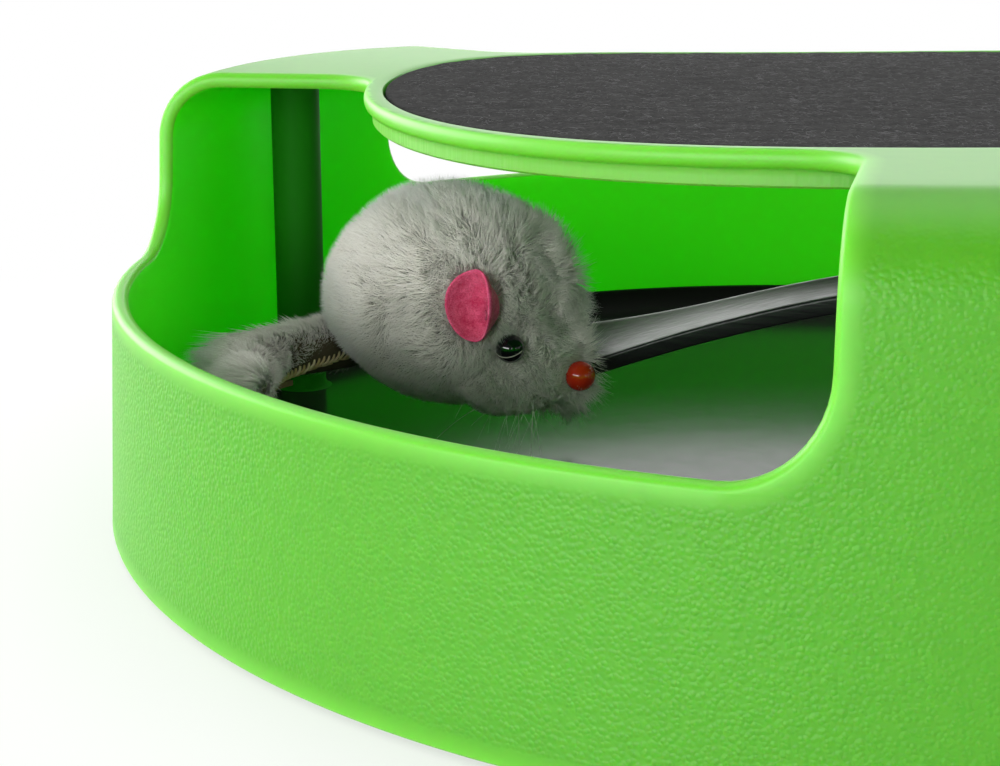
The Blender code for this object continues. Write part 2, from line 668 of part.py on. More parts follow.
def build_cover_screws(material):
    """Pan head screws with a cross recess, driven upwards into the cover's pins."""
    head_top = POST_WEB_HEIGHT - POST_WEB - SEAT_GAP
    head_low = head_top - SCREW_HEAD_HEIGHT
    tip = POST_WEB_HEIGHT + SEAT_GAP + SCREW_BITE
    for number, place in enumerate(post_places(), 1):
        centre = (place.x, place.y)
        profile = [(0.0, head_low), (SCREW_HEAD_RADIUS * SCREW_DOME_SHARES[0], head_low),
                   (SCREW_HEAD_RADIUS, head_low + SCREW_HEAD_HEIGHT * SCREW_DOME_SHARES[1]),
                   (SCREW_HEAD_RADIUS, head_top), (SCREW_RADIUS, head_top), (SCREW_RADIUS, tip - SCREW_RADIUS),
                   (SCREW_RADIUS * SCREW_TIP_SHARE, tip), (0.0, tip)]
        screw = turned("cover_screw_%d" % number, profile, SMALL_STEPS // 2, material, centre)
        for turn in (0.0, 0.5 * math.pi):
            slot = box_tool("slot_tool", SCREW_HEAD_RADIUS, SCREW_RECESS_ARM * 2.0, SCREW_RECESS * 2.0)
            slot.data.transform(Matrix.Translation((place.x, place.y, head_low)) @ Matrix.Rotation(turn, 4, "Z"))
            combine(screw, slot, "DIFFERENCE")
        raise_object(screw, STAND_HEIGHT)


def box_tool(name, length, width, height):
    points = [(x * length / 2.0, y * width / 2.0, z * height / 2.0)
              for z in (-1.0, 1.0) for y in (-1.0, 1.0) for x in (-1.0, 1.0)]
    faces = [(0, 2, 3, 1), (4, 5, 7, 6), (0, 1, 5, 4), (2, 6, 7, 3), (0, 4, 6, 2), (1, 3, 7, 5)]
    return make_object(name, points, faces, None)


def rounded_ring(name, bore, radius, low, high, round_size, steps, material):
    profile = [(bore, low), (radius - round_size, low), (radius, low + round_size), (radius, high - round_size),
               (radius - round_size, high), (bore, high)]
    return turned(name, profile, steps, material)


def build_hub(bush_material, ring_material):
    levels = hub_levels()
    bore = SPINDLE_RADIUS + RUN_GAP
    sleeve = bore + SLEEVE_WALL
    profile = [(bore, levels["flange_low"]), (HUB_FLANGE_RADIUS - SMALL_ROUND, levels["flange_low"]),
               (HUB_FLANGE_RADIUS, levels["flange_low"] + SMALL_ROUND),
               (HUB_FLANGE_RADIUS, levels["flange_high"] - SMALL_ROUND),
               (HUB_FLANGE_RADIUS - SMALL_ROUND, levels["flange_high"]), (sleeve, levels["flange_high"]),
               (sleeve, levels["sleeve_high"]), (bore, levels["sleeve_high"])]
    bush = turned("hub_bush", profile, SMALL_STEPS * 2, bush_material)
    cap = rounded_ring("hub_cap", sleeve + SEAT_GAP, HUB_CAP_RADIUS, levels["cap_low"], levels["cap_high"],
                       SMALL_ROUND, SMALL_STEPS * 2, bush_material)
    ring = rounded_ring("retaining_ring", SPINDLE_RADIUS + SEAT_GAP, RING_RADIUS, levels["ring_low"],
                        levels["ring_high"], SMALL_ROUND, SMALL_STEPS * 2, ring_material)
    slot = box_tool("slot_tool", RING_RADIUS * 2.0, RING_SLOT, RING_THICKNESS * 3.0)
    slot.data.transform(Matrix.Translation((RING_RADIUS + SPINDLE_RADIUS / 2.0, 0.0, levels["ring_low"])))
    combine(ring, slot, "DIFFERENCE")
    for item in (bush, cap, ring):
        raise_object(item, STAND_HEIGHT)


def smooth_share(value):
    value = min(max(value, 0.0), 1.0)
    return value * value * (3.0 - 2.0 * value)


def arm_height(radius):
    """Middle of the strap: level at the hub, sloping down, and level again under the mouse."""
    share = smooth_share((radius - ARM_SLOPE_START) / (ARM_SLOPE_END - ARM_SLOPE_START))
    return ARM_HUB_HEIGHT + (ARM_TIP_HEIGHT - ARM_HUB_HEIGHT) * share


def arm_width(share):
    """Widens from the hub to the strap's middle, then on to the mouse."""
    width = ARM_HUB_WIDTH + (ARM_MIDDLE_WIDTH - ARM_HUB_WIDTH) * smooth_share(share * 2.0)
    return width + (ARM_TIP_WIDTH - ARM_MIDDLE_WIDTH) * smooth_share(share * 2.0 - 1.0)


def arm_loft(name, grow, material):
    """The strap as a loft of eight-sided sections, each turned about the arm's length by the twist there."""
    inward = polar(1.0, ARM_AZIMUTH, 0.0)
    side = Vector((0.0, 0.0, 1.0)).cross(inward)
    steps = 14
    points = []
    rows = []
    for step in range(steps + 1):
        share = step / steps
        radius = ARM_START + (ARM_TIP - ARM_START) * share
        if step == steps:
            radius += grow
        twisted = (share - ARM_TWIST_START_SHARE) / (1.0 - ARM_TWIST_START_SHARE)
        twist = ARM_HUB_TWIST + (ARM_TIP_TWIST - ARM_HUB_TWIST) * smooth_share(twisted)
        across = side * math.cos(twist) - Vector((0.0, 0.0, math.sin(twist)))
        up = Vector((0.0, 0.0, math.cos(twist))) + side * math.sin(twist)
        half_width = arm_width(share) / 2.0 + grow
        half_height = ARM_THICKNESS / 2.0 + grow
        centre = inward * radius + Vector((0.0, 0.0, arm_height(radius)))
        outline = [(half_width, half_height - ARM_EDGE), (half_width - ARM_EDGE, half_height),
                   (ARM_EDGE - half_width, half_height), (-half_width, half_height - ARM_EDGE),
                   (-half_width, ARM_EDGE - half_height), (ARM_EDGE - half_width, -half_height),
                   (half_width - ARM_EDGE, -half_height), (half_width, ARM_EDGE - half_height)]
        rows.append(list(range(len(points), len(points) + len(outline))))
        points += [centre + across * x + up * y for x, y in outline]
    faces = [tuple(rows[0]), tuple(rows[-1])]
    for low, high in zip(rows, rows[1:]):
        faces += row_faces(low, high, True)
    return make_object(name, points, faces, material)


def build_rotor_arm(material):
    levels = hub_levels()
    arm = arm_loft("rotor_arm", 0.0, material)
    bore = SPINDLE_RADIUS + RUN_GAP + SLEEVE_WALL + SEAT_GAP
    trim_profile = [(0.0, -CUT_OVERRUN), (bore, -CUT_OVERRUN), (bore, COVER_HEIGHT), (0.0, COVER_HEIGHT)]
    trim = turned("trim_tool", trim_profile, SMALL_STEPS * 2, None)
    combine(arm, trim, "DIFFERENCE")
    eye = rounded_ring("eye_tool", bore, ARM_EYE_RADIUS, levels["eye_low"], levels["eye_high"], ARM_EDGE,
                       SMALL_STEPS * 2, None)
    combine(arm, eye, "UNION")
    raise_object(arm, STAND_HEIGHT)
    return arm


def mouse_matrix():
    place = polar(MOUSE_PLACE_RADIUS, MOUSE_AZIMUTH, STAND_HEIGHT)
    return Matrix.Translation(place) @ Matrix.Rotation(MOUSE_HEADING, 4, "Z")


def body_middle_height():
    """The mouse sits on the strap: its height follows the strap's where that passes the eyes."""
    return arm_height(MOUSE_PLACE_RADIUS - EYE_FORWARD) + BODY_STAND


def lofted_blob(name, sections, steps, material):
    """Joins upright oval sections (forward, half width, half height, middle height) with pointed ends."""
    points = []
    rows = []
    for forward, half_width, half_height, middle in sections:
        if half_width == 0.0:
            rows.append([len(points)])
            points.append((forward, 0.0, middle))
            continue
        rows.append(list(range(len(points), len(points) + steps)))
        for step in range(steps):
            angle = 2.0 * math.pi * step / steps
            points.append((forward, half_width * math.cos(angle), middle + half_height * math.sin(angle)))
    faces = []
    for low, high in zip(rows, rows[1:]):
        faces += row_faces(low, high, True)
    item = make_object(name, points, faces, material)
    item.data.transform(mouse_matrix())
    return item


def body_sections(grow):
    """The mouse's body: an egg, fullest a little behind its middle, with a belly flatter than its back."""
    steps = 14
    middle = body_middle_height()
    sections = []
    for step in range(steps + 1):
        share = step / steps
        angle = math.pi * share
        along = (1.0 - math.cos(angle)) / 2.0
        swell = math.sin(angle) ** BODY_FULLNESS if 0 < step < steps else 0.0
        forward = BODY_REAR - grow + (BODY_LENGTH + 2.0 * grow) * along
        sections.append((forward, (BODY_HALF_WIDTH + grow) * swell, (BODY_HALF_HEIGHT + grow) * swell,
                         middle))
    return sections


def head_sections(grow):
    """The head: wide at the cheeks, tapering and drooping to the muzzle."""
    steps = 12
    rear_middle = body_middle_height() - HEAD_DROP
    sections = []
    for step in range(steps + 1):
        share = step / steps
        angle = math.pi * share
        along = (1.0 - math.cos(angle)) / 2.0
        swell = math.sin(angle) ** HEAD_FULLNESS if 0 < step < steps else 0.0
        tapered = (along - HEAD_TAPER_START_SHARE) / (1.0 - HEAD_TAPER_START_SHARE)
        taper = 1.0 - HEAD_TAPER_SHARE * smooth_share(tapered)
        forward = HEAD_REAR - grow + (HEAD_LENGTH + 2.0 * grow) * along
        middle = rear_middle - HEAD_DROOP * along ** HEAD_DROOP_POWER
        sections.append((forward, (HEAD_HALF_WIDTH * taper + grow) * swell,
                         (HEAD_HALF_HEIGHT * taper + grow) * swell, middle))
    return sections


def arm_cutter():
    cutter = arm_loft("arm_tool", SEAT_GAP, None)
    raise_object(cutter, STAND_HEIGHT)
    return cutter


def build_mouse_body(material):
    body = lofted_blob("mouse_body", body_sections(0.0), SMALL_STEPS, material)
    combine(body, arm_cutter(), "DIFFERENCE")
    return body


def build_mouse_head(material):
    head = lofted_blob("mouse_head", head_sections(0.0), SMALL_STEPS, material)
    combine(head, lofted_blob("body_tool", body_sections(SEAT_GAP), SMALL_STEPS, None), "DIFFERENCE")
    combine(head, arm_cutter(), "DIFFERENCE")
    return head


def section_at(sections, forward):
    """Half width, half height and middle height of a blob at a forward place, between its sections."""
    for low, high in zip(sections, sections[1:]):
        if low[0] <= forward <= high[0]:
            share = (forward - low[0]) / (high[0] - low[0])
            return tuple(low[index] + (high[index] - low[index]) * share for index in (1, 2, 3))
    return sections[-1][1:]


def side_reach(sections, forward, height):
    """How far a blob reaches sideways at a forward place and height."""
    half_width, half_height, middle = section_at(sections, forward)
    rise = min(abs(height - middle) / half_height, 0.98)
    return half_width * math.sqrt(1.0 - rise ** 2)


def bead(name, radius, place, material):
    profile = []
    rings = BEAD_STEPS // 2
    for step in range(rings + 1):
        angle = -0.5 * math.pi + math.pi * step / rings
        ring_radius = radius * math.cos(angle) if 0 < step < rings else 0.0
        profile.append((ring_radius, radius * math.sin(angle)))
    item = turned(name, profile, BEAD_STEPS, material)
    item.data.transform(mouse_matrix() @ Matrix.Translation(place))
    return item


def build_beads(eye_material, nose_material):
    head = head_sections(SEAT_GAP)
    height = section_at(head, EYE_FORWARD)[2] + EYE_RISE
    out = side_reach(head, EYE_FORWARD, height) + EYE_RADIUS * BEAD_OUT_SHARE
    for name, sign in (("eye_bead_right", -1.0), ("eye_bead_left", 1.0)):
        bead(name, EYE_RADIUS, (EYE_FORWARD, sign * out, height), eye_material)
    tip = head[-1]
    bead("nose_bead", NOSE_RADIUS, (tip[0] + NOSE_RADIUS * BEAD_OUT_SHARE, 0.0, tip[3]), nose_material)


def seat_beads(plush):
    """Hollows the body or head under each bead, so that the beads sit in it."""
    for name in ("eye_bead_right", "eye_bead_left", "nose_bead"):
        tool = bpy.data.objects[name].copy()
        tool.data = tool.data.copy()
        bpy.context.collection.objects.link(tool)
        centre = sum((vertex.co for vertex in tool.data.vertices), Vector()) / len(tool.data.vertices)
        radius = NOSE_RADIUS if name == "nose_bead" else EYE_RADIUS
        growth = (radius + SEAT_GAP) / radius
        for vertex in tool.data.vertices:
            vertex.co = centre + (vertex.co - centre) * growth
        combine(plush, tool, "DIFFERENCE")


def ear_cup(name, material):
    """An oval cup of even thickness, its mouth towards +Z, with its deepest point's back at the origin."""
    rings = 4
    points = []
    skins = []
    for skin in (0, 1):
        rows = []
        for ring in range(rings + 1):
            share = ring / rings
            rise = EAR_CUP * share ** 2 + skin * EAR_THICKNESS
            radius = EAR_RADIUS * share
            first = len(points)
            if ring == 0:
                rows.append([first])
                points.append((0.0, 0.0, rise))
                continue
            shift = EAR_ROOT * share
            rows.append(list(range(first, first + SMALL_STEPS)))
            for step in range(SMALL_STEPS):
                angle = 2.0 * math.pi * step / SMALL_STEPS
                points.append((radius * EAR_WIDTH_SHARE * math.cos(angle) - shift,
                               radius * math.sin(angle) + shift, rise))
        skins.append(rows)
    faces = row_faces(skins[0][-1], skins[1][-1], True)
    for rows in skins:
        for low, high in zip(rows, rows[1:]):
            faces += row_faces(low, high, True)
    return make_object(name, points, faces, material)


def build_ears(material):
    """Round felt cups on the sides of the head, open outwards and a little upwards."""
    forward = HEAD_REAR + HEAD_LENGTH * EAR_ALONG_SHARE
    height = body_middle_height() + EAR_RISE
    reach = max(side_reach(body_sections(0.0), forward, height), side_reach(head_sections(0.0), forward, height))
    for name, sign in (("ear_right", -1.0), ("ear_left", 1.0)):
        ear = ear_cup(name, material)
        mouth = Vector((math.tan(EAR_TURN), sign, math.tan(EAR_LIFT))).normalized()
        up = (Vector((0.0, 0.0, 1.0)) - mouth * mouth.z).normalized()
        ahead = mouth.cross(up) * sign
        lean = Matrix((ahead, up, mouth)).transposed().to_4x4()
        if sign > 0.0:
            ear.data.flip_normals()
        place = Matrix.Translation((forward, sign * (reach - EAR_SINK), height))
        ear.data.transform(mouse_matrix() @ place @ lean)
        combine(ear, lofted_blob("body_tool", body_sections(SEAT_GAP), SMALL_STEPS, None), "DIFFERENCE")
        combine(ear, lofted_blob("head_tool", head_sections(SEAT_GAP), SMALL_STEPS, None), "DIFFERENCE")


def tail_path():
    """Middle line of the tail: from the rump it swings out and follows the drum's wall."""
    root_height = body_middle_height() - TAIL_ROOT_DROP
    root = mouse_matrix() @ Vector((BODY_REAR + TAIL_ROOT_RADIUS * TAIL_SINK_SHARE, 0.0, root_height))
    start_azimuth = math.atan2(root.x, -root.y)
    start_radius = math.hypot(root.x, root.y)
    points = []
    steps = 12
    for step in range(steps + 1):
        share = step / steps
        radius = start_radius + (TAIL_OUT - start_radius) * smooth_share(share / TAIL_SWING_SHARE)
        azimuth = start_azimuth + TAIL_LENGTH / TAIL_OUT * share
        height = root_height + TAIL_TIP_RISE * share ** 2
        points.append(polar(radius, azimuth, height + STAND_HEIGHT))
    return points


def tail_radius(share):
    radius = TAIL_ROOT_RADIUS + (TAIL_TIP_RADIUS - TAIL_ROOT_RADIUS) * share
    ended = max(share - 1.0 + TAIL_END_SHARE, 0.0) / TAIL_END_SHARE
    return radius * math.sqrt(1.0 - TAIL_END_NARROWING * ended ** 2)


def swept_tube(name, path, radii, material, steps=10):
    """A round tube along a path, with flat ends."""
    points = []
    rows = []
    for index, place in enumerate(path):
        ahead = path[min(index + 1, len(path) - 1)]
        back = path[max(index - 1, 0)]
        along = (ahead - back).normalized()
        side = Vector((0.0, 0.0, 1.0)).cross(along).normalized()
        up = along.cross(side)
        rows.append(list(range(len(points), len(points) + steps)))
        for step in range(steps):
            angle = 2.0 * math.pi * step / steps
            points.append(place + (side * math.cos(angle) + up * math.sin(angle)) * radii[index])
    faces = [tuple(rows[0]), tuple(rows[-1])]
    for low, high in zip(rows, rows[1:]):
        faces += row_faces(low, high, True)
    return make_object(name, points, faces, material)


def build_tail(material, backing_material):
    path = tail_path()
    count = len(path) - 1
    tail = swept_tube("mouse_tail", path, [tail_radius(index / count) for index in range(count + 1)], material)
    combine(tail, lofted_blob("body_tool", body_sections(SEAT_GAP), SMALL_STEPS, None), "DIFFERENCE")
    first = round(count * BACKING_START_SHARE)
    points = []
    rows = []
    for index in range(first, count):
        along = (path[index + 1] - path[index - 1]).normalized()
        outward = Vector((path[index].x, path[index].y, 0.0)).normalized()
        drop = tail_radius(index / count) + SEAT_GAP
        low = path[index] - Vector((0.0, 0.0, drop))
        side = outward * (BACKING_WIDTH / 2.0)
        depth = Vector((0.0, 0.0, BACKING_THICKNESS))
        rows.append(list(range(len(points), len(points) + 4)))
        points += [low + side, low - side, low - side - depth, low + side - depth]
    faces = [tuple(rows[0]), tuple(rows[-1])]
    for low, high in zip(rows, rows[1:]):
        faces += row_faces(low, high, True)
    make_object("tail_backing", points, faces, backing_material)


def build_part():
    clear_scene()
    green = make_material("green_plastic", (0.15, 0.55, 0.04), 0.32)
    felt = make_material("charcoal_felt", (0.05, 0.05, 0.052), 0.95)
    black = make_material("black_plastic", (0.012, 0.012, 0.013), 0.12)
    strap = make_material("black_strap", (0.02, 0.02, 0.021), 0.3)
    acetal = make_material("white_acetal", (0.8, 0.8, 0.77), 0.35)
    steel = make_material("plated_steel", (0.6, 0.6, 0.6), 0.3, 1.0)
    rubber = make_material("grey_rubber", (0.09, 0.09, 0.09), 0.8)
    fur = make_material("grey_fur", (0.38, 0.37, 0.34), 0.95)
    pink = make_material("pink_felt", (0.82, 0.08, 0.22), 0.9)
    jet = make_material("black_bead", (0.01, 0.01, 0.012), 0.08)
    red = make_material("red_bead", (0.5, 0.02, 0.01), 0.1)
    tan = make_material("tan_backing", (0.35, 0.28, 0.17), 0.9)
    build_top_cover(green)
    build_scratch_pad(felt)
    build_base_plate(black)
    build_rubber_feet(rubber)
    build_cover_screws(steel)
    build_hub(acetal, steel)
    build_rotor_arm(strap)
    body = build_mouse_body(fur)
    head = build_mouse_head(fur)
    build_beads(jet, red)
    seat_beads(body)
    seat_beads(head)
    build_ears(pink)
    build_tail(fur, tan)


build_part()
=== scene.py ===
"""Dresses the cat scratching plate: a green drum with three windows, a felt pad and a fur mouse on an arm.

Sizes are in metres, +Z up, with the drum's axis at the origin. Heights in the constants are above the drum's
foot, which stands STAND above the table. An azimuth of zero points along -Y and grows towards +X.
"""
import math
from functools import partial

import bmesh
import bpy
import numpy as np
from mathutils import Matrix, Vector, kdtree


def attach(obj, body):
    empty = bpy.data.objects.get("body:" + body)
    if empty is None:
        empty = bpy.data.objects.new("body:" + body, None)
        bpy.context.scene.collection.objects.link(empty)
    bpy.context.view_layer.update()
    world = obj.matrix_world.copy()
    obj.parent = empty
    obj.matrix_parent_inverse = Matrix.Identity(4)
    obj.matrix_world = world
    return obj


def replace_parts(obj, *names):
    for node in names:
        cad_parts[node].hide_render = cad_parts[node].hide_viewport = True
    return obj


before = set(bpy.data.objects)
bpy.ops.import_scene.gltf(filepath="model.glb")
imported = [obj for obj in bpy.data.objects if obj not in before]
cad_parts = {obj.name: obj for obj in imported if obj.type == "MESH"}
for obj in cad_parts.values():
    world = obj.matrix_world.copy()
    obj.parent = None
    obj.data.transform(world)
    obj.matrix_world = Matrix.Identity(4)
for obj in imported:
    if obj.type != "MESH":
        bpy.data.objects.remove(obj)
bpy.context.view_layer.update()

MM = 0.001
STAND = 0.6 * MM

# Drum, as in the part
FOOT = 123.0 * MM
DRAFT = math.radians(2.75)
WALL = 2.4 * MM
EDGE_ROUND = 0.8 * MM
COVER = 64.0 * MM
RIM = 34.0 * MM
ROOF_WALL = 2.4 * MM
SHOULDER = 11.0 * MM
BRIDGES = 3
BRIDGE_AZIMUTH = math.radians(15.4)
BRIDGE_HALF = math.radians(17.45)
WINDOW_CORNER = 12.0 * MM
PLATE_CORNER = 10.0 * MM
PLATE = FOOT - 40.6 * MM
PLATE_DEPTH = 4.7 * MM
PLATE_STEP = 0.5 * MM
PLATE_WAVE = 0.97 * MM
PAD = PLATE - 2.5 * MM
PAD_THICKNESS = 2.5 * MM
PAD_RECESS = 2.6 * MM
FELT_ROUND = 0.5 * MM
GAP = 0.3 * MM
ROOF = COVER - PLATE_WAVE

# Base
FLOOR = 2.4 * MM
LIP = 7.5 * MM
LIP_WIDTH = 1.6 * MM
LIP_COVE = 5.1 * MM
POST_RING = FOOT - 11.5 * MM
POST = 4.4 * MM
POST_TOP = 58.6 * MM
POST_BORE = 2.8 * MM
POST_WEB_LOW = 41.5 * MM
POST_WEB_TOP = 44.0 * MM
PIN = 2.5 * MM
PIN_TOP = 60.0 * MM
PILOT = 1.5 * MM
PILOT_TOP = 56.8 * MM
SPINDLE = 3.0 * MM
PILLAR = 6.8 * MM
PILLAR_FILLET = 2.0 * MM
PILLAR_WALL = 2.4 * MM
SLEEVE_WALL = 1.2 * MM
FLANGE = 1.5 * MM
COLLAR_WALL = 2.4 * MM
COLLAR_DEPTH = 8.0 * MM

# Arm
ARM_AZIMUTH = math.radians(-97.5)
ARM_THICKNESS = 3.0 * MM
ARM_HUB_HEIGHT = COVER - 31.1 * MM
ARM_TIP_HEIGHT = 11.3 * MM
ARM_EYE = 8.2 * MM
ARM_START = 7.0 * MM
ARM_TIP = FOOT - 57.0 * MM

# Mouse: its own frame has X to the nose, Y to its left and Z up
MOUSE_RADIUS = FOOT - 50.9 * MM
MOUSE_AZIMUTH = math.radians(-92.6)
MOUSE_HEADING = math.radians(-20.0)
BODY_REAR = -21.816 * MM
BODY_LENGTH = 40.4 * MM
BODY_WIDE = 16.2 * MM
BODY_TALL = 16.5 * MM
BODY_MIDDLE = 25.46 * MM
BODY_FULLNESS = 0.9
HEAD_REAR = -1.016 * MM
HEAD_LENGTH = 23.8 * MM
HEAD_WIDE = 12.2 * MM
HEAD_TALL = 11.8 * MM
HEAD_MIDDLE = 21.46 * MM
HEAD_DROOP = 6.0 * MM
HEAD_FULLNESS = 0.85
TAIL_LENGTH = 56.5 * MM

# How close points must be to become one vertex
FINE_WELD = 1e-6

PHOTO_WIDTH = 1000.0
FOCAL_PIXELS = 1852.6

# Light: what falls on things from all round, and lamps as (name, place, width, height, watts)
AMBIENT = 0.5
LAMPS = (("key_front", (-0.6, -1.05, 0.22), 1.2, 0.4, 10.5),
         ("window_left", (-1.0, 0.35, 0.32), 1.2, 0.55, 10.0),
         ("fill_right", (0.75, -1.0, 0.25), 0.9, 0.4, 2.5), ("window_back", (0.15, 1.25, 0.32), 1.6, 0.5, 4.0),
         ("window_top", (0.1, 0.1, 1.0), 0.8, 0.8, 2.4))
chance = np.random.default_rng(20)


# Camera, floor and light

def place_camera():
    """The photograph's view: close to the drum, a little above it, aimed down and to the left."""
    data = bpy.data.cameras.new("camera")
    data.sensor_width = 36.0
    data.lens = FOCAL_PIXELS / PHOTO_WIDTH * data.sensor_width
    camera = bpy.data.objects.new("camera", data)
    camera.location = (0.0, -295.59 * MM, 91.05 * MM)
    camera.rotation_euler = (math.pi / 2.0 - 0.2532, 0.0, 0.2123)
    bpy.context.scene.collection.objects.link(camera)
    bpy.context.scene.camera = camera


def linear(hex_colour):
    """A linear RGBA colour from an sRGB hex value."""
    parts = [int(hex_colour[i:i + 2], 16) / 255.0 for i in (1, 3, 5)]
    return tuple(c / 12.92 if c <= 0.04045 else ((c + 0.055) / 1.055) ** 2.4 for c in parts) + (1.0,)


def plug(node, sockets):
    """Sets a node's inputs by name or number: to a value, or linked to a socket or to a node's live output."""
    for key, value in sockets.items():
        if isinstance(value, bpy.types.Node):
            value = next(output for output in value.outputs if output.enabled)
        if isinstance(value, bpy.types.NodeSocket):
            node.id_data.links.new(value, node.inputs[key])
        else:
            node.inputs[key].default_value = value


def add_node(tree, kind, sockets=None, **settings):
    """Adds a shader node. Settings are its properties; sockets go to plug."""
    made = tree.nodes.new("ShaderNode" + kind)
    for key, value in settings.items():
        setattr(made, key, value)
    plug(made, sockets or {})
    return made


def start_material(name):
    """A new material with its Principled shader, and add_node for its tree."""
    material = bpy.data.materials.new(name)
    material.use_nodes = True
    return material, partial(add_node, material.node_tree), material.node_tree.nodes["Principled BSDF"]


def seen_directly(add):
    """A factor of 1 for camera, glossy and transmission rays, and 0 for the light that falls on things."""
    path = add("LightPath")
    both = add("Math", {0: path.outputs["Is Camera Ray"], 1: path.outputs["Is Glossy Ray"]},
               operation="MAXIMUM")
    return add("Math", {0: both, 1: path.outputs["Is Transmission Ray"]}, operation="MAXIMUM")


def light_room():
    """A white room behind the drum that dims towards the camera, a low soft key lamp in front on the left,
    a soft window on the left, one behind and a weak one above. The floor is white where it is seen from
    far enough off and keeps the drum's shadow close to it."""
    world = bpy.data.worlds.new("white_room")
    bpy.context.scene.world = world
    world.use_nodes = True
    tree = world.node_tree
    add = partial(add_node, tree)
    way = add("SeparateXYZ", {"Vector": add("TexCoord").outputs["Generated"]})
    mirrored = add("MapRange", {"Value": way.outputs["Y"], "From Min": -0.45, "From Max": 0.25, "To Min": 0.08,
                                "To Max": 0.9})
    path = add("LightPath")
    open_ray = add("Math", {0: path.outputs["Is Camera Ray"], 1: path.outputs["Is Transmission Ray"]},
                   operation="MAXIMUM")
    level = add("Mix", {0: path.outputs["Is Glossy Ray"], 2: AMBIENT, 3: mirrored})
    strength = add("Mix", {0: open_ray, 2: level, 3: 1.0})
    plug(tree.nodes["Background"], {"Color": (1.0, 1.0, 1.0, 1.0), "Strength": strength})
    for name, place, width, height, power in LAMPS:
        data = bpy.data.lights.new(name, "AREA")
        data.shape = "RECTANGLE"
        data.size = width
        data.size_y = height
        data.energy = power
        lamp = bpy.data.objects.new(name, data)
        lamp.location = place
        aim = Vector((0.0, 0.0, 0.03)) - Vector(place)
        lamp.rotation_euler = aim.to_track_quat("-Z", "Y").to_euler()
        bpy.context.scene.collection.objects.link(lamp)
    material, add, shader = start_material("white_card")
    plug(shader, {"Base Color": linear("#F7F7F5"), "Roughness": 0.85})
    place = add("TexCoord").outputs["Object"]
    distance = add("VectorMath", {0: place}, operation="LENGTH").outputs["Value"]
    away = add("MapRange", {"Value": distance, "From Min": 0.13, "From Max": 0.26, "To Min": 0.62,
                            "To Max": 1.0}, interpolation_type="SMOOTHSTEP")
    share = add("Math", {0: away, 1: seen_directly(add)}, operation="MULTIPLY")
    white = add("Emission", {"Strength": 1.0})
    mixed = add("MixShader", {0: share, 1: shader, 2: white})
    plug(material.node_tree.nodes["Material Output"], {"Surface": mixed})
    mesh = bpy.data.meshes.new("floor")
    mesh.from_pydata([(-6, -6, 0), (6, -6, 0), (6, 6, 0), (-6, 6, 0)], [], [(0, 1, 2, 3)])
    mesh.materials.append(material)
    floor = bpy.data.objects.new("floor", mesh)
    bpy.context.scene.collection.objects.link(floor)


# Mesh tools

def polar_points(radius, azimuth, height):
    """Points from radius, azimuth and height arrays that broadcast together."""
    radius, azimuth, height = np.broadcast_arrays(radius, azimuth, height)
    return np.stack([radius * np.sin(azimuth), -radius * np.cos(azimuth), height], axis=-1)


def unit(vectors):
    """The vectors, each made one long."""
    return vectors / np.maximum(np.linalg.norm(vectors, axis=-1, keepdims=True), 1e-12)


def smooth_step(value, low=0.0, high=1.0):
    """Rises from 0 at low to 1 at high, level at both ends: three shares squared less two cubed."""
    share = np.clip((value - low) / (high - low), 0.0, 1.0)
    return share * share * (3.0 - 2.0 * share)


def grid_faces(rows, columns, wrap=False, start=0):
    """Quads of a grid of points numbered row by row; wrap joins the last column to the first."""
    last = columns if wrap else columns - 1
    row, column = np.meshgrid(np.arange(rows - 1), np.arange(last), indexing="ij")
    after = (column + 1) % columns
    quads = [row * columns + column, row * columns + after, (row + 1) * columns + after,
             (row + 1) * columns + column]
    return np.stack(quads, axis=-1).reshape(-1, 4) + start


class Patches:
    """Gathers grids of points, each with named values, into the arrays of one mesh."""

    def __init__(self, *names):
        self.names = names
        self.points = []
        self.faces = []
        self.values = {name: [] for name in names}
        self.count = 0

    def lay(self, grid, wrap=False, **values):
        """Adds a grid; each value is one number or an array as wide or as high as the grid."""
        rows, columns = grid.shape[:2]
        self.faces.append(grid_faces(rows, columns, wrap, self.count))
        self.points.append(grid.reshape(-1, 3))
        for name in self.names:
            self.values[name].append(np.broadcast_to(values.get(name, 0.0), (rows, columns)).ravel())
        self.count += rows * columns

    def arrays(self):
        values = {name: np.concatenate(parts) for name, parts in self.values.items()}
        return np.concatenate(self.points), [np.concatenate(self.faces)], values


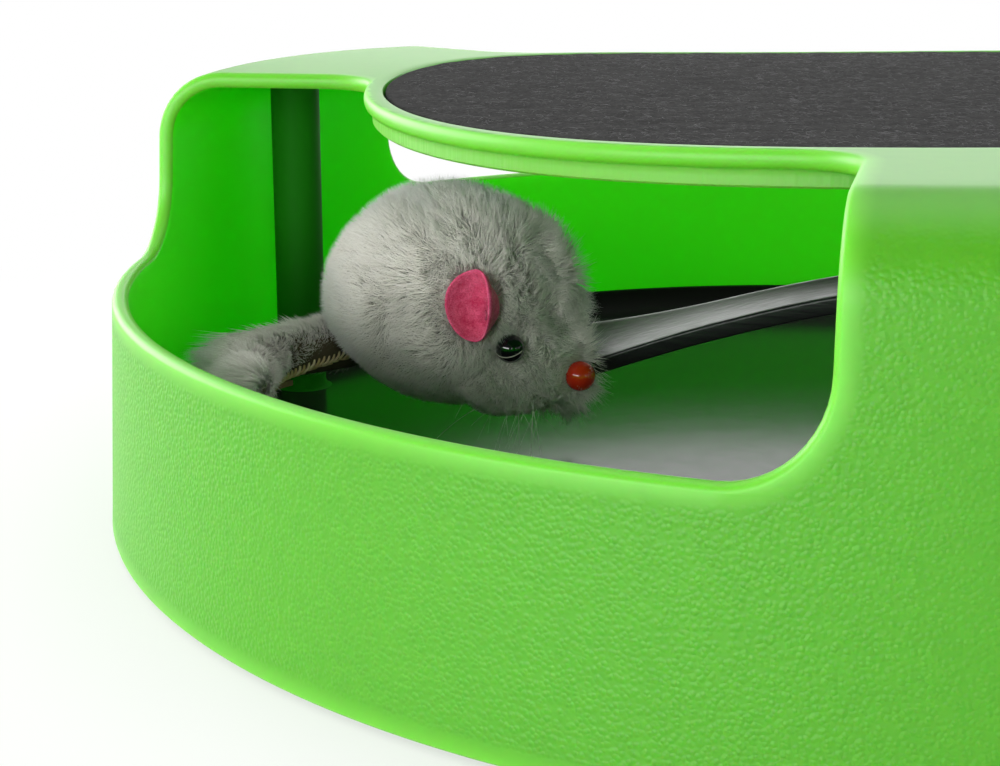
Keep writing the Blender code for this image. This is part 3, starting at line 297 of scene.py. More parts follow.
def make_piece(name, points, faces, material, body, values=None, weld=0.0, sharp=None, hair_uv=None):
    """A mesh piece from arrays, riding on a body. Weld merges doubles closer than that, and turns the faces
    outwards."""
    mesh = bpy.data.meshes.new(name)
    corners = np.concatenate([part.ravel() for part in faces]).astype(np.int32)
    sizes = np.concatenate([np.full(len(part), part.shape[1]) for part in faces])
    mesh.vertices.add(len(points))
    mesh.vertices.foreach_set("co", np.ascontiguousarray(points, dtype=np.float32).ravel())
    mesh.loops.add(len(corners))
    mesh.loops.foreach_set("vertex_index", corners)
    mesh.polygons.add(len(sizes))
    mesh.polygons.foreach_set("loop_start", np.concatenate(([0], np.cumsum(sizes)[:-1])).astype(np.int32))
    mesh.update(calc_edges=True)
    for key, numbers in (values or {}).items():
        layer = mesh.attributes.new(key, "FLOAT", "POINT")
        layer.data.foreach_set("value", np.ascontiguousarray(numbers, dtype=np.float32))
    if hair_uv is not None:
        layer = mesh.uv_layers.new(name="OFBake")
        layer.data.foreach_set("uv", np.ascontiguousarray(hair_uv[corners], dtype=np.float32).ravel())
    if weld:
        work = bmesh.new()
        work.from_mesh(mesh)
        bmesh.ops.remove_doubles(work, verts=work.verts, dist=weld)
        bmesh.ops.dissolve_degenerate(work, edges=work.edges, dist=weld)
        bmesh.ops.recalc_face_normals(work, faces=work.faces)
        work.to_mesh(mesh)
        work.free()
    mesh.validate()
    return place_piece(name, mesh, material, body, sharp)


def place_piece(name, mesh, material, body, sharp):
    """Shades a mesh smooth, but for edges sharper than so many degrees, and lets it ride on a body."""
    mesh.shade_smooth()
    if sharp:
        mesh.set_sharp_from_angle(angle=math.radians(sharp))
    mesh.materials.append(material)
    piece = bpy.data.objects.new(name, mesh)
    bpy.context.scene.collection.objects.link(piece)
    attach(piece, body)
    return piece


def grid_piece(name, grid, material, body, **settings):
    """A piece from one grid of points whose last column joins its first."""
    return make_piece(name, grid.reshape(-1, 3), [grid_faces(*grid.shape[:2], wrap=True)], material, body,
                      **settings)


def turned_grid(profile, steps, centre=(0.0, 0.0)):
    """A profile of (radius, height) points turned round an upright axis, one grid row a point."""
    profile = np.asarray(profile)
    angles = np.linspace(0.0, 2.0 * np.pi, steps, endpoint=False)
    grid = polar_points(profile[:, 0, None], angles[None, :], profile[:, 1, None])
    return grid + np.array([centre[0], centre[1], 0.0])


def swept_grid(path, radii, sides):
    """A tube: circles of the given radii round a path, closed to a point at both ends."""
    path = np.asarray(path)
    radii = np.broadcast_to(np.asarray(radii, dtype=float), (len(path),)).copy()
    along = unit(np.gradient(path, axis=0))
    side = unit(np.cross(along, [0.0, 0.0, 1.0]) + 1e-9)
    up = np.cross(side, along)
    path = np.vstack([path[:1], path, path[-1:]])
    radii = np.concatenate([[0.0], radii, [0.0]])
    side = np.vstack([side[:1], side, side[-1:]])
    up = np.vstack([up[:1], up, up[-1:]])
    angles = np.linspace(0.0, 2.0 * np.pi, sides, endpoint=False)
    ring = side[:, None] * np.cos(angles)[None, :, None] + up[:, None] * np.sin(angles)[None, :, None]
    return path[:, None] + ring * radii[:, None, None]


def smooth_copy(node, name, material, body, sharp=35.0):
    """A merged, smooth shaded copy of a CAD node, which it replaces."""
    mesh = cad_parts[node].data.copy()
    mesh.name = name
    work = bmesh.new()
    work.from_mesh(mesh)
    bmesh.ops.remove_doubles(work, verts=work.verts, dist=0.5e-6)
    bmesh.ops.recalc_face_normals(work, faces=work.faces)
    work.to_mesh(mesh)
    work.free()
    mesh.materials.clear()
    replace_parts(place_piece(name, mesh, material, body, sharp), node)


# Drum

# Values at each point of the drum: mm from the nearest rim, and 1 for leather grain, the plate's edge below
# its rim, and the inner skin
BRIDGE_COLUMNS, WINDOW_COLUMNS = 44, 76
DRUM_MARKS = ("edge", "grained", "skirt", "inner")
FAR = 3.0


def plate_lift(points):
    """Raises points with the plate's three-lobed dip, cubed in radius and fading out down to the rim."""
    radius = np.hypot(points[..., 0], points[..., 1])
    azimuth = np.arctan2(points[..., 0], -points[..., 1])
    share = np.clip((points[..., 2] - RIM) / (ROOF - PLATE_DEPTH - 8.0 * MM - RIM), 0.0, 1.0)
    wave = PLATE_WAVE * np.minimum(radius / PLATE, 1.0) ** BRIDGES * np.cos(BRIDGES
                                                                            * (azimuth - BRIDGE_AZIMUTH))
    lifted = points.copy()
    lifted[..., 2] += share * wave + STAND
    return lifted


def wall_radius(height):
    """Outside of the drafted wall at a height above the drum's foot."""
    return FOOT - height * math.tan(DRAFT)


def bridge_stations():
    """Rows up a bridge: outer radius and height, inner radius and height, half angle. The side flares with a
    quarter circle at the rim and at the plate, and the shoulder is a quarter circle from wall to roof."""
    turn = np.linspace(0.0, 1.0, 13)[1:]
    rise = WINDOW_CORNER * (1.0 - np.cos(0.5 * np.pi * turn))
    flare = WINDOW_CORNER - np.sqrt(WINDOW_CORNER ** 2 - (WINDOW_CORNER - rise) ** 2)
    radius = wall_radius(RIM + rise)
    low = np.stack([radius, RIM + rise, radius - WALL, RIM + rise, BRIDGE_HALF + flare / radius], axis=1)
    share = np.linspace(0.0, 1.0, 17)
    angle = DRAFT + (0.5 * np.pi - DRAFT) * share
    start = ROOF - SHOULDER * (1.0 - math.sin(DRAFT))
    centre = wall_radius(start) - SHOULDER * math.cos(DRAFT)
    inner = SHOULDER - WALL + (WALL - ROOF_WALL) * share
    shoulder = np.stack([centre + SHOULDER * np.cos(angle), ROOF - SHOULDER + SHOULDER * np.sin(angle),
                         centre + inner * np.cos(angle), ROOF - SHOULDER + inner * np.sin(angle),
                         np.full_like(angle, BRIDGE_HALF)], axis=1)
    upright = low[-1] + (shoulder[0] - low[-1]) * np.linspace(0.0, 1.0, 5)[1:-1, None]
    turn = np.linspace(1.0, 0.0, 11)[:-1]
    reach = PLATE_CORNER * (1.0 - np.cos(0.5 * np.pi * turn))
    flare = PLATE_CORNER - np.sqrt(PLATE_CORNER ** 2 - (PLATE_CORNER - reach) ** 2)
    radius = PLATE + reach
    corner = np.stack([radius, np.full_like(radius, ROOF), radius, np.full_like(radius, ROOF - ROOF_WALL),
                       BRIDGE_HALF + flare / radius], axis=1)
    flat = shoulder[-1] + (corner[0] - shoulder[-1]) * np.linspace(0.0, 1.0, 6)[1:-1, None]
    return np.vstack([low, upright, shoulder, flat, corner])


def ring_azimuths(half, across, between):
    """Columns all round the drum: evenly across each bridge, then evenly across the window after it."""
    pitch = 2.0 * np.pi / BRIDGES
    bridge = half * np.linspace(-1.0, 1.0, across + 1)
    window = half + (pitch - 2.0 * half) * np.linspace(0.0, 1.0, between + 1)[1:-1]
    one = np.concatenate([bridge, window])
    return np.concatenate([BRIDGE_AZIMUTH + number * pitch + one for number in range(BRIDGES)])


def edge_rows(outer, inner):
    """A rounded edge along a closed loop: half an ellipse from the outer to the inner skin."""
    depth = 0.5 - 0.5 * np.cos(np.linspace(0.0, np.pi, 9))
    bulge = EDGE_ROUND * np.sin(np.linspace(0.0, np.pi, 9))
    middle = (outer + inner) / 2.0
    across = outer - inner
    out = unit(np.cross(across, np.roll(middle, -1, axis=0) - np.roll(middle, 1, axis=0)))
    return outer[None] - across[None] * depth[:, None, None] + out[None] * bulge[:, None, None]


def lay_plate(shell, columns):
    """Adds the plate's top with the pad's recess, its underside with the spindle's collar, and the pins."""
    recess = PAD + GAP
    top = [(PLATE, ROOF), (recess + 1.6 * MM, ROOF), (recess + 0.5 * MM, ROOF),
           (recess + 0.15 * MM, ROOF - 0.15 * MM), (recess, ROOF - 0.5 * MM), (recess, ROOF - PAD_RECESS - GAP),
           (recess * 0.5, ROOF - PAD_RECESS - GAP), (0.0, ROOF - PAD_RECESS - GAP)]
    rows = np.stack([polar_points(radius, columns, height) for radius, height in top])
    shell.lay(plate_lift(rows), wrap=True, edge=FAR)
    skirt = PLATE - PLATE_STEP
    bottom = ROOF - PLATE_DEPTH
    collar = SPINDLE + GAP + COLLAR_WALL
    deep = bottom - COLLAR_DEPTH
    under = [(PLATE, ROOF - ROOF_WALL), (skirt + 0.1 * MM, ROOF - ROOF_WALL - 0.02 * MM),
             (skirt, ROOF - ROOF_WALL - 0.15 * MM), (skirt, ROOF - 3.4 * MM), (skirt, bottom + 0.3 * MM),
             (skirt - 0.3 * MM, bottom), (skirt * 0.97, bottom), (skirt * 0.8, bottom), (skirt * 0.5, bottom),
             (skirt * 0.25, bottom), (collar, bottom), (collar, deep), (SPINDLE + GAP, deep),
             (SPINDLE + GAP, bottom), (0.0, bottom)]
    rows = np.stack([polar_points(radius, columns, height) for radius, height in under])
    marks = np.zeros((len(under), 1))
    marks[1:6] = 1.0
    shell.lay(plate_lift(rows), wrap=True, skirt=marks, edge=FAR, inner=1.0 - marks)
    for number in range(BRIDGES):
        centre = post_place(number)
        pin = [(0.0, PIN_TOP), (PIN, PIN_TOP), (PIN, POST_WEB_TOP + GAP), (PILOT, POST_WEB_TOP + GAP),
               (PILOT, PILOT_TOP), (0.0, PILOT_TOP)]
        shell.lay(plate_lift(turned_grid(pin, 24, centre)), wrap=True, edge=FAR, inner=1.0)


def drum_cover(material):
    """The closed shell: two skins over the wall, the bridges and the plate, joined by rounded edges."""
    across, between = BRIDGE_COLUMNS, WINDOW_COLUMNS
    shell = Patches(*DRUM_MARKS)
    rim_columns = ring_azimuths(BRIDGE_HALF + WINDOW_CORNER / wall_radius(RIM), across, between)
    plate_columns = ring_azimuths(BRIDGE_HALF + PLATE_CORNER / PLATE, across, between)
    heights = np.linspace(EDGE_ROUND, RIM, 19)
    outer_wall = polar_points(wall_radius(heights)[:, None], rim_columns[None], heights[:, None])
    outer_wall[0] = polar_points(FOOT, rim_columns, EDGE_ROUND)
    inner_wall = polar_points((wall_radius(heights) - WALL)[:, None], rim_columns[None], heights[:, None])
    inner_wall[0] = polar_points(FOOT - WALL, rim_columns, EDGE_ROUND)
    plate_outer = polar_points(PLATE, plate_columns, ROOF)
    plate_inner = polar_points(PLATE, plate_columns, ROOF - ROOF_WALL)
    stations = bridge_stations()
    sector = across + between
    fan = np.linspace(-1.0, 1.0, across + 1)
    outer_strips, inner_strips = [], []
    for number in range(BRIDGES):
        azimuths = BRIDGE_AZIMUTH + number * 2.0 * np.pi / BRIDGES + stations[:, 4:5] * fan
        span = slice(number * sector, number * sector + across + 1)
        outer = polar_points(stations[:, 0:1], azimuths, stations[:, 1:2])
        inner = polar_points(stations[:, 2:3], azimuths, stations[:, 3:4])
        outer_strips.append(np.concatenate([outer_wall[-1:, span], outer, plate_outer[None, span]]))
        inner_strips.append(np.concatenate([inner_wall[-1:, span], inner, plate_inner[None, span]]))
    loops = [(outer_wall[0, ::-1], inner_wall[0, ::-1])]
    for number in range(BRIDGES):
        span = (number * sector + across + np.arange(between + 1)) % len(rim_columns)
        after = (number + 1) % BRIDGES
        pair = []
        skins = (outer_wall, outer_strips, plate_outer), (inner_wall, inner_strips, plate_inner)
        for wall, strips, plate in skins:
            pair.append(np.concatenate([wall[-1, span], strips[after][1:-1, 0], plate[span[::-1]],
                                        strips[number][1:-1, -1][::-1]]))
        loops.append(tuple(pair))
    tree = kdtree.KDTree(sum(len(outer) for outer, inner in loops))
    for index, point in enumerate(np.concatenate([outer for outer, inner in loops])):
        tree.insert(point, index)
    tree.balance()

    def edge_distance(grid):
        """Millimetres from each point to the nearest rim."""
        return np.array([tree.find(point)[2] for point in grid.reshape(-1, 3)]).reshape(grid.shape[:2]) / MM

    shell.lay(plate_lift(outer_wall), wrap=True, edge=edge_distance(outer_wall), grained=1.0)
    shell.lay(plate_lift(inner_wall), wrap=True, edge=FAR, inner=1.0)
    for outer, inner in zip(outer_strips, inner_strips):
        mask = 1.0 - smooth_step(outer[..., 2], ROOF - 8.0 * MM, ROOF - 1.5 * MM)
        shell.lay(plate_lift(outer), edge=edge_distance(outer), grained=mask)
        shell.lay(plate_lift(inner), edge=FAR, inner=1.0)
    for outer, inner in loops:
        rows = edge_rows(outer, inner)
        last = np.zeros((len(rows), 1))
        last[-1] = 1.0
        shell.lay(plate_lift(rows), wrap=True, edge=FAR * last, inner=last)
    lay_plate(shell, plate_columns)
    points, faces, values = shell.arrays()
    cover = make_piece("drum_cover", points, faces, material, "housing", values, weld=2e-6, sharp=42.0)
    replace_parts(cover, "top_cover")
    return cover


def green_polypropylene():
    """Polypropylene, injection moulded in a grained steel tool. Leather grain on the outer wall scatters the
    light; rims and inner faces come off polished steel. The plastic lets some light through, green most of
    all. The paler green at the rims is painted glow, the inner skin's deeper, brighter green is painted light
    from through the walls, and the skirt's paler green is painted sheen."""
    material, add, shader = start_material("green_polypropylene_moulded")
    place = add("TexCoord").outputs["Object"]
    edge, grained, skirt, inner = (add("Attribute", attribute_name=mark).outputs["Fac"] for mark in DRUM_MARKS)
    inland = add("MapRange", {"Value": edge, "From Min": 1.0, "From Max": 3.0}, interpolation_type="SMOOTHSTEP")
    grain = add("Math", {0: grained, 1: inland}, operation="MULTIPLY")
    cells = add("TexVoronoi", {"Vector": place, "Scale": 1600.0, "Smoothness": 0.4}, feature="SMOOTH_F1")
    pebble = add("MapRange", {"Value": cells, "From Min": 0.0, "From Max": 0.85, "To Min": 0.5, "To Max": -0.5},
                 interpolation_type="SMOOTHSTEP")
    uneven = add("TexNoise", {"Vector": place, "Scale": 420.0, "Detail": 2.0})
    height = add("Math", {0: uneven, 1: 0.5, 2: pebble}, operation="MULTIPLY_ADD")
    relief = add("Math", {0: height, 1: grain}, operation="MULTIPLY")
    bump = add("Bump", {"Height": relief, "Strength": 1.0, "Distance": 0.00009})
    squeezed = add("Mapping", {"Vector": place, "Scale": (1.0, 1.0, 0.03)})
    lines = add("TexNoise", {"Vector": squeezed, "Scale": 900.0, "Detail": 2.0})
    cuts = add("Math", {0: lines, 1: skirt}, operation="MULTIPLY")
    tooled = add("Bump", {"Height": cuts, "Strength": 0.5, "Distance": 0.0004, "Normal": bump})
    base = add("Mix", {0: uneven, 6: linear("#4B9F06"), 7: linear("#53A60C")}, data_type="RGBA")
    # Painted glow: the rims get a paler green that stands in for light coming through the thin edges
    lit = add("MapRange", {"Value": edge, "From Min": 0.0, "From Max": 2.2, "To Min": 0.35, "To Max": 0.0})
    painted_rim_glow = add("Mix", {0: lit, 6: base, 7: linear("#8BE24A")}, data_type="RGBA")
    # Painted sheen: the plate's skirt gets a paler green for the sheen it catches; its tooling lines are real
    # bumps
    with_painted_skirt_sheen = add("Mix", {0: skirt, 6: painted_rim_glow, 7: linear("#6FBF3C")}, data_type="RGBA")
    # Painted light: the inner skin gets a brighter, deeper green for light that comes through the walls and
    # bounces between them
    deep = add("Mix", {0: inner, 6: with_painted_skirt_sheen, 7: linear("#55F218")}, data_type="RGBA")
    rough = add("MapRange", {"Value": grain, "To Min": 0.42, "To Max": 0.46})
    gloss = add("MapRange", {"Value": inner, "To Min": 0.5, "To Max": 0.15})
    plug(shader, {"Normal": tooled, "Base Color": deep, "Roughness": rough, "Specular IOR Level": gloss,
                  "IOR": 1.49, "Subsurface Weight": 0.8, "Subsurface Radius": (0.3, 1.0, 0.12),
                  "Subsurface Scale": 4.5 * MM})
    return material


# Felt pad

def felt_grid(radius, low, high):
    """The pad's closed surface: its top follows the plate's dip with soft lumps of a few tenths of a mm."""
    share = np.linspace(0.0, 1.0, 150)
    angles = np.linspace(0.0, 2.0 * np.pi, 360, endpoint=False)
    top = polar_points((radius - FELT_ROUND) * share[:, None], angles[None], high)
    x, y = top[..., 0] / MM, top[..., 1] / MM
    lumps = (np.sin(x * 0.61 + 1.3 * np.sin(y * 0.23)) + np.sin(y * 0.73 + 1.1 * np.sin(x * 0.31)) + 0.6
             * np.sin(x * 1.7 + y * 1.1) * np.sin(y * 1.9 - x * 0.7))
    top[..., 2] += 0.045 * MM * lumps * np.minimum(share[:, None] * 6.0, 1.0)
    angle = np.linspace(0.5 * np.pi, 0.0, 5)[1:]
    rim = [(radius - FELT_ROUND * (1.0 - math.cos(a)), high - FELT_ROUND * (1.0 - math.sin(a))) for a in angle]
    rim += [(radius, low + 0.3 * MM), (radius - 0.3 * MM, low), (radius * 0.5, low), (0.0, low)]
    side = np.stack([polar_points(r, angles, z) for r, z in rim])
    return plate_lift(np.concatenate([top, side]))


def curled_fibres(count, place_roots, length, width, rise, sides=3, steps=5, curl=2.2):
    """Loose fibres: each a thin tube along an arc of random curl that lies over the surface. Returns points
    of shape (count, steps + 1, sides, 3)."""
    roots, normals = place_roots(count)
    angle = chance.uniform(0.0, 2.0 * np.pi, count)
    bend = chance.normal(0.0, curl, count)
    flat = unit(np.cross(normals, [0.3, 0.2, 0.9]) + 1e-9)
    other = np.cross(normals, flat)
    lengths = chance.uniform(0.5, 1.3, count) * length
    peaks = chance.uniform(0.2, 1.0, count) * rise
    rows = []
    here = roots.copy()
    for step in range(steps + 1):
        share = step / steps
        heading = angle + bend * share
        ahead = flat * np.cos(heading)[:, None] + other * np.sin(heading)[:, None]
        lifted = here + normals * (peaks * math.sin(math.pi * share) - 0.05 * MM)[:, None]
        thick = width * (1.0 - 0.75 * abs(2.0 * share - 1.0))
        across = np.cross(ahead, normals)
        ring = [lifted + (across * math.cos(turn) + normals * math.sin(turn)) * thick
                for turn in np.linspace(0.0, 2.0 * np.pi, sides, endpoint=False)]
        rows.append(np.stack(ring, axis=1))
        here = here + ahead * (lengths / steps)[:, None]
    return np.stack(rows, axis=1)


def fibre_piece(name, tubes, material, body="rotor"):
    """A piece from a stack of thin tubes with closed ends, each with a tone of its own."""
    count, rows, sides = tubes.shape[:3]
    quads = grid_faces(rows, sides, wrap=True)
    starts = (np.arange(count) * rows * sides)[:, None, None]
    ends = np.array([np.arange(sides)[::-1], (rows - 1) * sides + np.arange(sides)])
    faces = [(quads[None] + starts).reshape(-1, 4), (ends[None] + starts).reshape(-1, sides)]
    tone = np.repeat(chance.uniform(0.0, 1.0, count), rows * sides)
    return make_piece(name, tubes.reshape(-1, 3), faces, material, body, {"tone": tone})


def scratch_felt(material, fibre_material):
    """The pad, laid in its recess, with loose fibres all over its top."""
    low = ROOF - PAD_RECESS
    high = low + PAD_THICKNESS
    pad = grid_piece("scratch_felt", felt_grid(PAD, low, high), material, "housing", weld=FINE_WELD)
    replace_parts(pad, "scratch_pad")

    def roots(count):
        radius = (PAD - 2.4 * MM) * np.sqrt(chance.uniform(0.0, 1.0, count))
        azimuth = chance.uniform(-np.pi, np.pi, count)
        places = plate_lift(polar_points(radius, azimuth, high))
        return places, np.tile([0.0, 0.0, 1.0], (count, 1))

    tubes = curled_fibres(10500, roots, 2.0 * MM, 0.02 * MM, 0.28 * MM, curl=3.2)
    fuzz = fibre_piece("scratch_felt_fibres", tubes, fibre_material, "housing")


def charcoal_felt():
    """Polyester felt, needled from dyed staple. Matt and dark, with paler fibres lying every way on top."""
    material, add, shader = start_material("charcoal_polyester_felt")
    place = add("TexCoord").outputs["Object"]
    warp = add("TexNoise", {"Vector": place, "Scale": 260.0, "Detail": 3.0})
    moved = add("VectorMath", {0: warp.outputs["Color"], 1: (0.004, 0.004, 0.004)}, operation="MULTIPLY")
    bent = add("VectorMath", {0: place, 1: moved}, operation="ADD")
    layers = []
    for squeeze, turn in (((1.0, 0.22, 1.0), 0.5), ((0.22, 1.0, 1.0), -0.4)):
        way = add("Mapping", {"Vector": bent, "Scale": squeeze, "Rotation": (0.0, 0.0, turn)})
        layers.append(add("TexNoise", {"Vector": way, "Scale": 2600.0, "Detail": 2.0}))
    both = add("Math", {0: layers[0], 1: layers[1]}, operation="MAXIMUM")
    ramp = add("MapRange", {"Value": both, "From Min": 0.48, "From Max": 0.78})
    clouds = add("TexNoise", {"Vector": place, "Scale": 120.0, "Detail": 3.0})
    shade = add("Math", {0: clouds, 1: 0.5, 2: -0.12}, operation="MULTIPLY_ADD")
    amount = add("Math", {0: ramp, 1: shade}, operation="ADD", use_clamp=True)
    colour = add("Mix", {0: amount, 6: linear("#121211"), 7: linear("#40403F")}, data_type="RGBA")
    bump = add("Bump", {"Height": both, "Strength": 0.8, "Distance": 0.00025})
    plug(shader, {"Base Color": colour, "Normal": bump, "Roughness": 0.95, "Specular IOR Level": 0.15})
    return material


def felt_fibres():
    """Single polyester staple fibres standing off the felt: mid to pale grey, with a soft gleam."""
    material, add, shader = start_material("loose_polyester_fibre")
    tone = add("Attribute", attribute_name="tone").outputs["Fac"]
    colour = add("Mix", {0: tone, 6: linear("#2C2C2D"), 7: linear("#8A8A8B")}, data_type="RGBA")
    plug(shader, {"Base Color": colour, "Roughness": 0.6})
    return material


# Base, posts and hub

def base_dish(material):
    """A turned dish with a coved lip, a pillar and the spindle, and three posts that stand in it."""
    dish = Patches("post", "lip")
    levels = hub_levels()
    outer_high = wall_radius(LIP) - WALL - GAP
    floor_edge = outer_high - LIP_WIDTH - LIP_COVE
    top = ROOF - PLATE_DEPTH - GAP
    profile = [(0.0, top), (SPINDLE - 0.6 * MM, top), (SPINDLE, top - 0.6 * MM), (SPINDLE, levels["pillar"]),
               (PILLAR - 0.3 * MM, levels["pillar"]), (PILLAR, levels["pillar"] - 0.3 * MM)]
    for angle in np.linspace(np.pi, 1.5 * np.pi, 9):
        profile.append((PILLAR + PILLAR_FILLET + PILLAR_FILLET * math.cos(angle),
                        FLOOR + PILLAR_FILLET + PILLAR_FILLET * math.sin(angle)))
    profile += [(PILLAR + 4.0 * MM, FLOOR), (50.0 * MM, FLOOR), (floor_edge - 1.0 * MM, FLOOR)]
    for angle in np.linspace(0.0, 0.5 * np.pi, 13):
        profile.append((floor_edge + LIP_COVE * math.sin(angle),
                        FLOOR + (LIP - FLOOR) * (1.0 - math.cos(angle))))
    profile += [(outer_high - LIP_WIDTH + 0.3 * MM, LIP), (outer_high - 0.3 * MM, LIP),
                (outer_high, LIP - 0.3 * MM), (FOOT - WALL - GAP, 0.0), (PILLAR - PILLAR_WALL, 0.0),
                (PILLAR - PILLAR_WALL, levels["pillar"] - PILLAR_WALL), (0.0, levels["pillar"] - PILLAR_WALL)]
    radii, heights = np.array(profile).T
    coved = smooth_step(radii, floor_edge - 0.5 * MM, floor_edge + 1.5 * MM) * (heights > FLOOR - 0.1 * MM)
    dish.lay(turned_grid(profile, 240), wrap=True, lip=coved[:, None])
    for number in range(BRIDGES):
        centre = post_place(number)
        post = [(POST + 1.1 * MM, FLOOR), (POST + 0.4 * MM, FLOOR + 0.25 * MM), (POST, FLOOR + 1.1 * MM),
                (POST, POST_TOP - 0.1 * MM), (POST - 0.1 * MM, POST_TOP), (POST_BORE, POST_TOP),
                (POST_BORE, POST_WEB_TOP), (PILOT, POST_WEB_TOP), (PILOT, POST_WEB_LOW),
                (POST_BORE, POST_WEB_LOW), (POST_BORE, 0.05 * MM), (3.4 * MM, 0.05 * MM),
                (3.4 * MM, FLOOR - 0.3 * MM), (POST + 1.1 * MM, FLOOR - 0.3 * MM), (POST + 1.1 * MM, FLOOR)]
        dish.lay(turned_grid(post, 48, centre), wrap=True, post=1.0)
    points, faces, values = dish.arrays()
    points[:, 2] += STAND
    piece = make_piece("base_dish", points, faces, material, "housing", values, weld=FINE_WELD, sharp=40.0)
    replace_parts(piece, "base_plate")


def post_place(number):
    """The middle of a post on the floor, under its bridge."""
    azimuth = BRIDGE_AZIMUTH + number * 2.0 * math.pi / BRIDGES
    return POST_RING * math.sin(azimuth), -POST_RING * math.cos(azimuth)


def hub_levels():
    """Heights of the strap's middle at the hub, the bush's flange and the pillar's top."""
    middle = arm_height(ARM_EYE)
    flange_low = middle - ARM_THICKNESS / 2.0 - GAP - FLANGE
    return {"middle": middle, "flange_low": flange_low, "pillar": flange_low - GAP}


def arm_height(radius):
    """Middle of the strap: a smooth step down from the hub's height to the tip's."""
    share = smooth_step(radius, -16.0 * MM, ARM_TIP + 18.0 * MM)
    return ARM_HUB_HEIGHT + (ARM_TIP_HEIGHT - ARM_HUB_HEIGHT) * share


def strap_arm(material):
    """The strap: a rounded oblong carried along the arm's falling line, twisting towards its tip, and an eye
    round the hub. The top carries a shallow hollow between two raised edges."""
    inward = np.array([math.sin(ARM_AZIMUTH), -math.cos(ARM_AZIMUTH), 0.0])
    side = np.cross([0.0, 0.0, 1.0], inward)
    share = np.linspace(0.0, 1.0, 61)
    radius = ARM_START + (ARM_TIP - ARM_START) * share
    twist = math.radians(9.0) + math.radians(19.0) * smooth_step(share, 0.35, 1.0)
    width = 11.4 * MM + 2.2 * MM * smooth_step(share * 2.0) + 1.0 * MM * smooth_step(share * 2.0 - 1.0)
    across = side * np.cos(twist)[:, None] - np.array([0.0, 0.0, 1.0]) * np.sin(twist)[:, None]
    up = np.array([0.0, 0.0, 1.0]) * np.cos(twist)[:, None] + side * np.sin(twist)[:, None]
    centre = inward * radius[:, None] + np.array([0.0, 0.0, 1.0]) * arm_height(radius)[:, None]
    corner = np.linspace(0.0, 0.5 * np.pi, 5)
    edge = 0.5 * MM
    outline = []
    for turn, (sx, sy) in enumerate(((1, 1), (-1, 1), (-1, -1), (1, -1))):
        for angle in corner + turn * 0.5 * np.pi:
            outline.append((sx, sy, edge * math.cos(angle), edge * math.sin(angle)))
        if turn == 0:
            outline += [(0.88, 1, 0.0, edge), (0.8, 1, 0.0, edge - 0.15 * MM), (0.0, 1, 0.0, edge - 0.2 * MM),
                        (-0.8, 1, 0.0, edge - 0.15 * MM), (-0.88, 1, 0.0, edge)]
    outline = np.array(outline)
    upper = np.zeros(len(outline))
    upper[4:11] = 1.0
    x = (width[:, None] / 2.0 - edge) * outline[None, :, 0] + outline[None, :, 2]
    y = (ARM_THICKNESS / 2.0 - edge) * outline[None, :, 1] + outline[None, :, 3]
    grid = centre[:, None] + across[:, None] * x[..., None] + up[:, None] * y[..., None]
    caps = [grid[:1].mean(axis=1, keepdims=True).repeat(grid.shape[1], axis=1),
            grid[-1:].mean(axis=1, keepdims=True).repeat(grid.shape[1], axis=1)]
    arm = Patches("top", "run")
    run = np.concatenate([[0.0], share, [1.0]])[:, None]
    arm.lay(np.concatenate([caps[0], grid, caps[1]]), wrap=True, top=upper[None], run=run)
    middle = hub_levels()["middle"]
    bore = SPINDLE + GAP + SLEEVE_WALL + GAP
    low, high = middle - ARM_THICKNESS / 2.0, middle + ARM_THICKNESS / 2.0
    ring = [(bore, low), (ARM_EYE - 0.5 * MM, low), (ARM_EYE - 0.15 * MM, low + 0.15 * MM),
            (ARM_EYE, low + 0.5 * MM), (ARM_EYE, high - 0.5 * MM), (ARM_EYE - 0.15 * MM, high - 0.15 * MM),
            (ARM_EYE - 0.5 * MM, high), (bore, high), (bore, low)]
    arm.lay(turned_grid(ring, 64), wrap=True)
    points, faces, values = arm.arrays()
    points[:, 2] += STAND
    piece = make_piece("strap_arm", points, faces, material, "rotor", values, weld=FINE_WELD, sharp=40.0)
    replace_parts(piece, "rotor_arm")


def black_styrene():
    """High impact polystyrene, injection moulded. The floor of the dish comes off polished steel and is near
    mirror bright, the coved lip off a fine matt one. The posts' dark green is painted reflection of the walls."""
    material, add, shader = start_material("black_polystyrene_moulded")
    place = add("TexCoord").outputs["Object"]
    post = add("Attribute", attribute_name="post").outputs["Fac"]
    lip = add("Attribute", attribute_name="lip").outputs["Fac"]
    dish = add("Mix", {0: lip, 6: linear("#2B302A"), 7: linear("#131412")}, data_type="RGBA")
    # Painted reflection: the posts are coloured dark green for the green walls they mirror
    base = add("Mix", {0: post, 6: dish, 7: linear("#1F8012")}, data_type="RGBA")
    flow = add("TexNoise", {"Vector": place, "Scale": 55.0, "Detail": 2.0})
    bump = add("Bump", {"Height": flow, "Strength": 0.06, "Distance": 0.001})
    marks = add("TexNoise", {"Vector": place, "Scale": 400.0, "Detail": 4.0})
    rough = add("MapRange", {"Value": marks, "From Min": 0.35, "From Max": 0.7, "To Min": 0.17, "To Max": 0.2})
    dull = add("Math", {0: lip, 1: post}, operation="MAXIMUM")
    matt = add("Mix", {0: dull, 2: rough, 3: 0.6})
    gloss = add("Mix", {0: dull, 2: 0.13, 3: 0.06})
    plug(shader, {"Base Color": base, "Normal": bump, "Roughness": matt, "Specular IOR Level": gloss,
                  "IOR": 1.59})
    return material


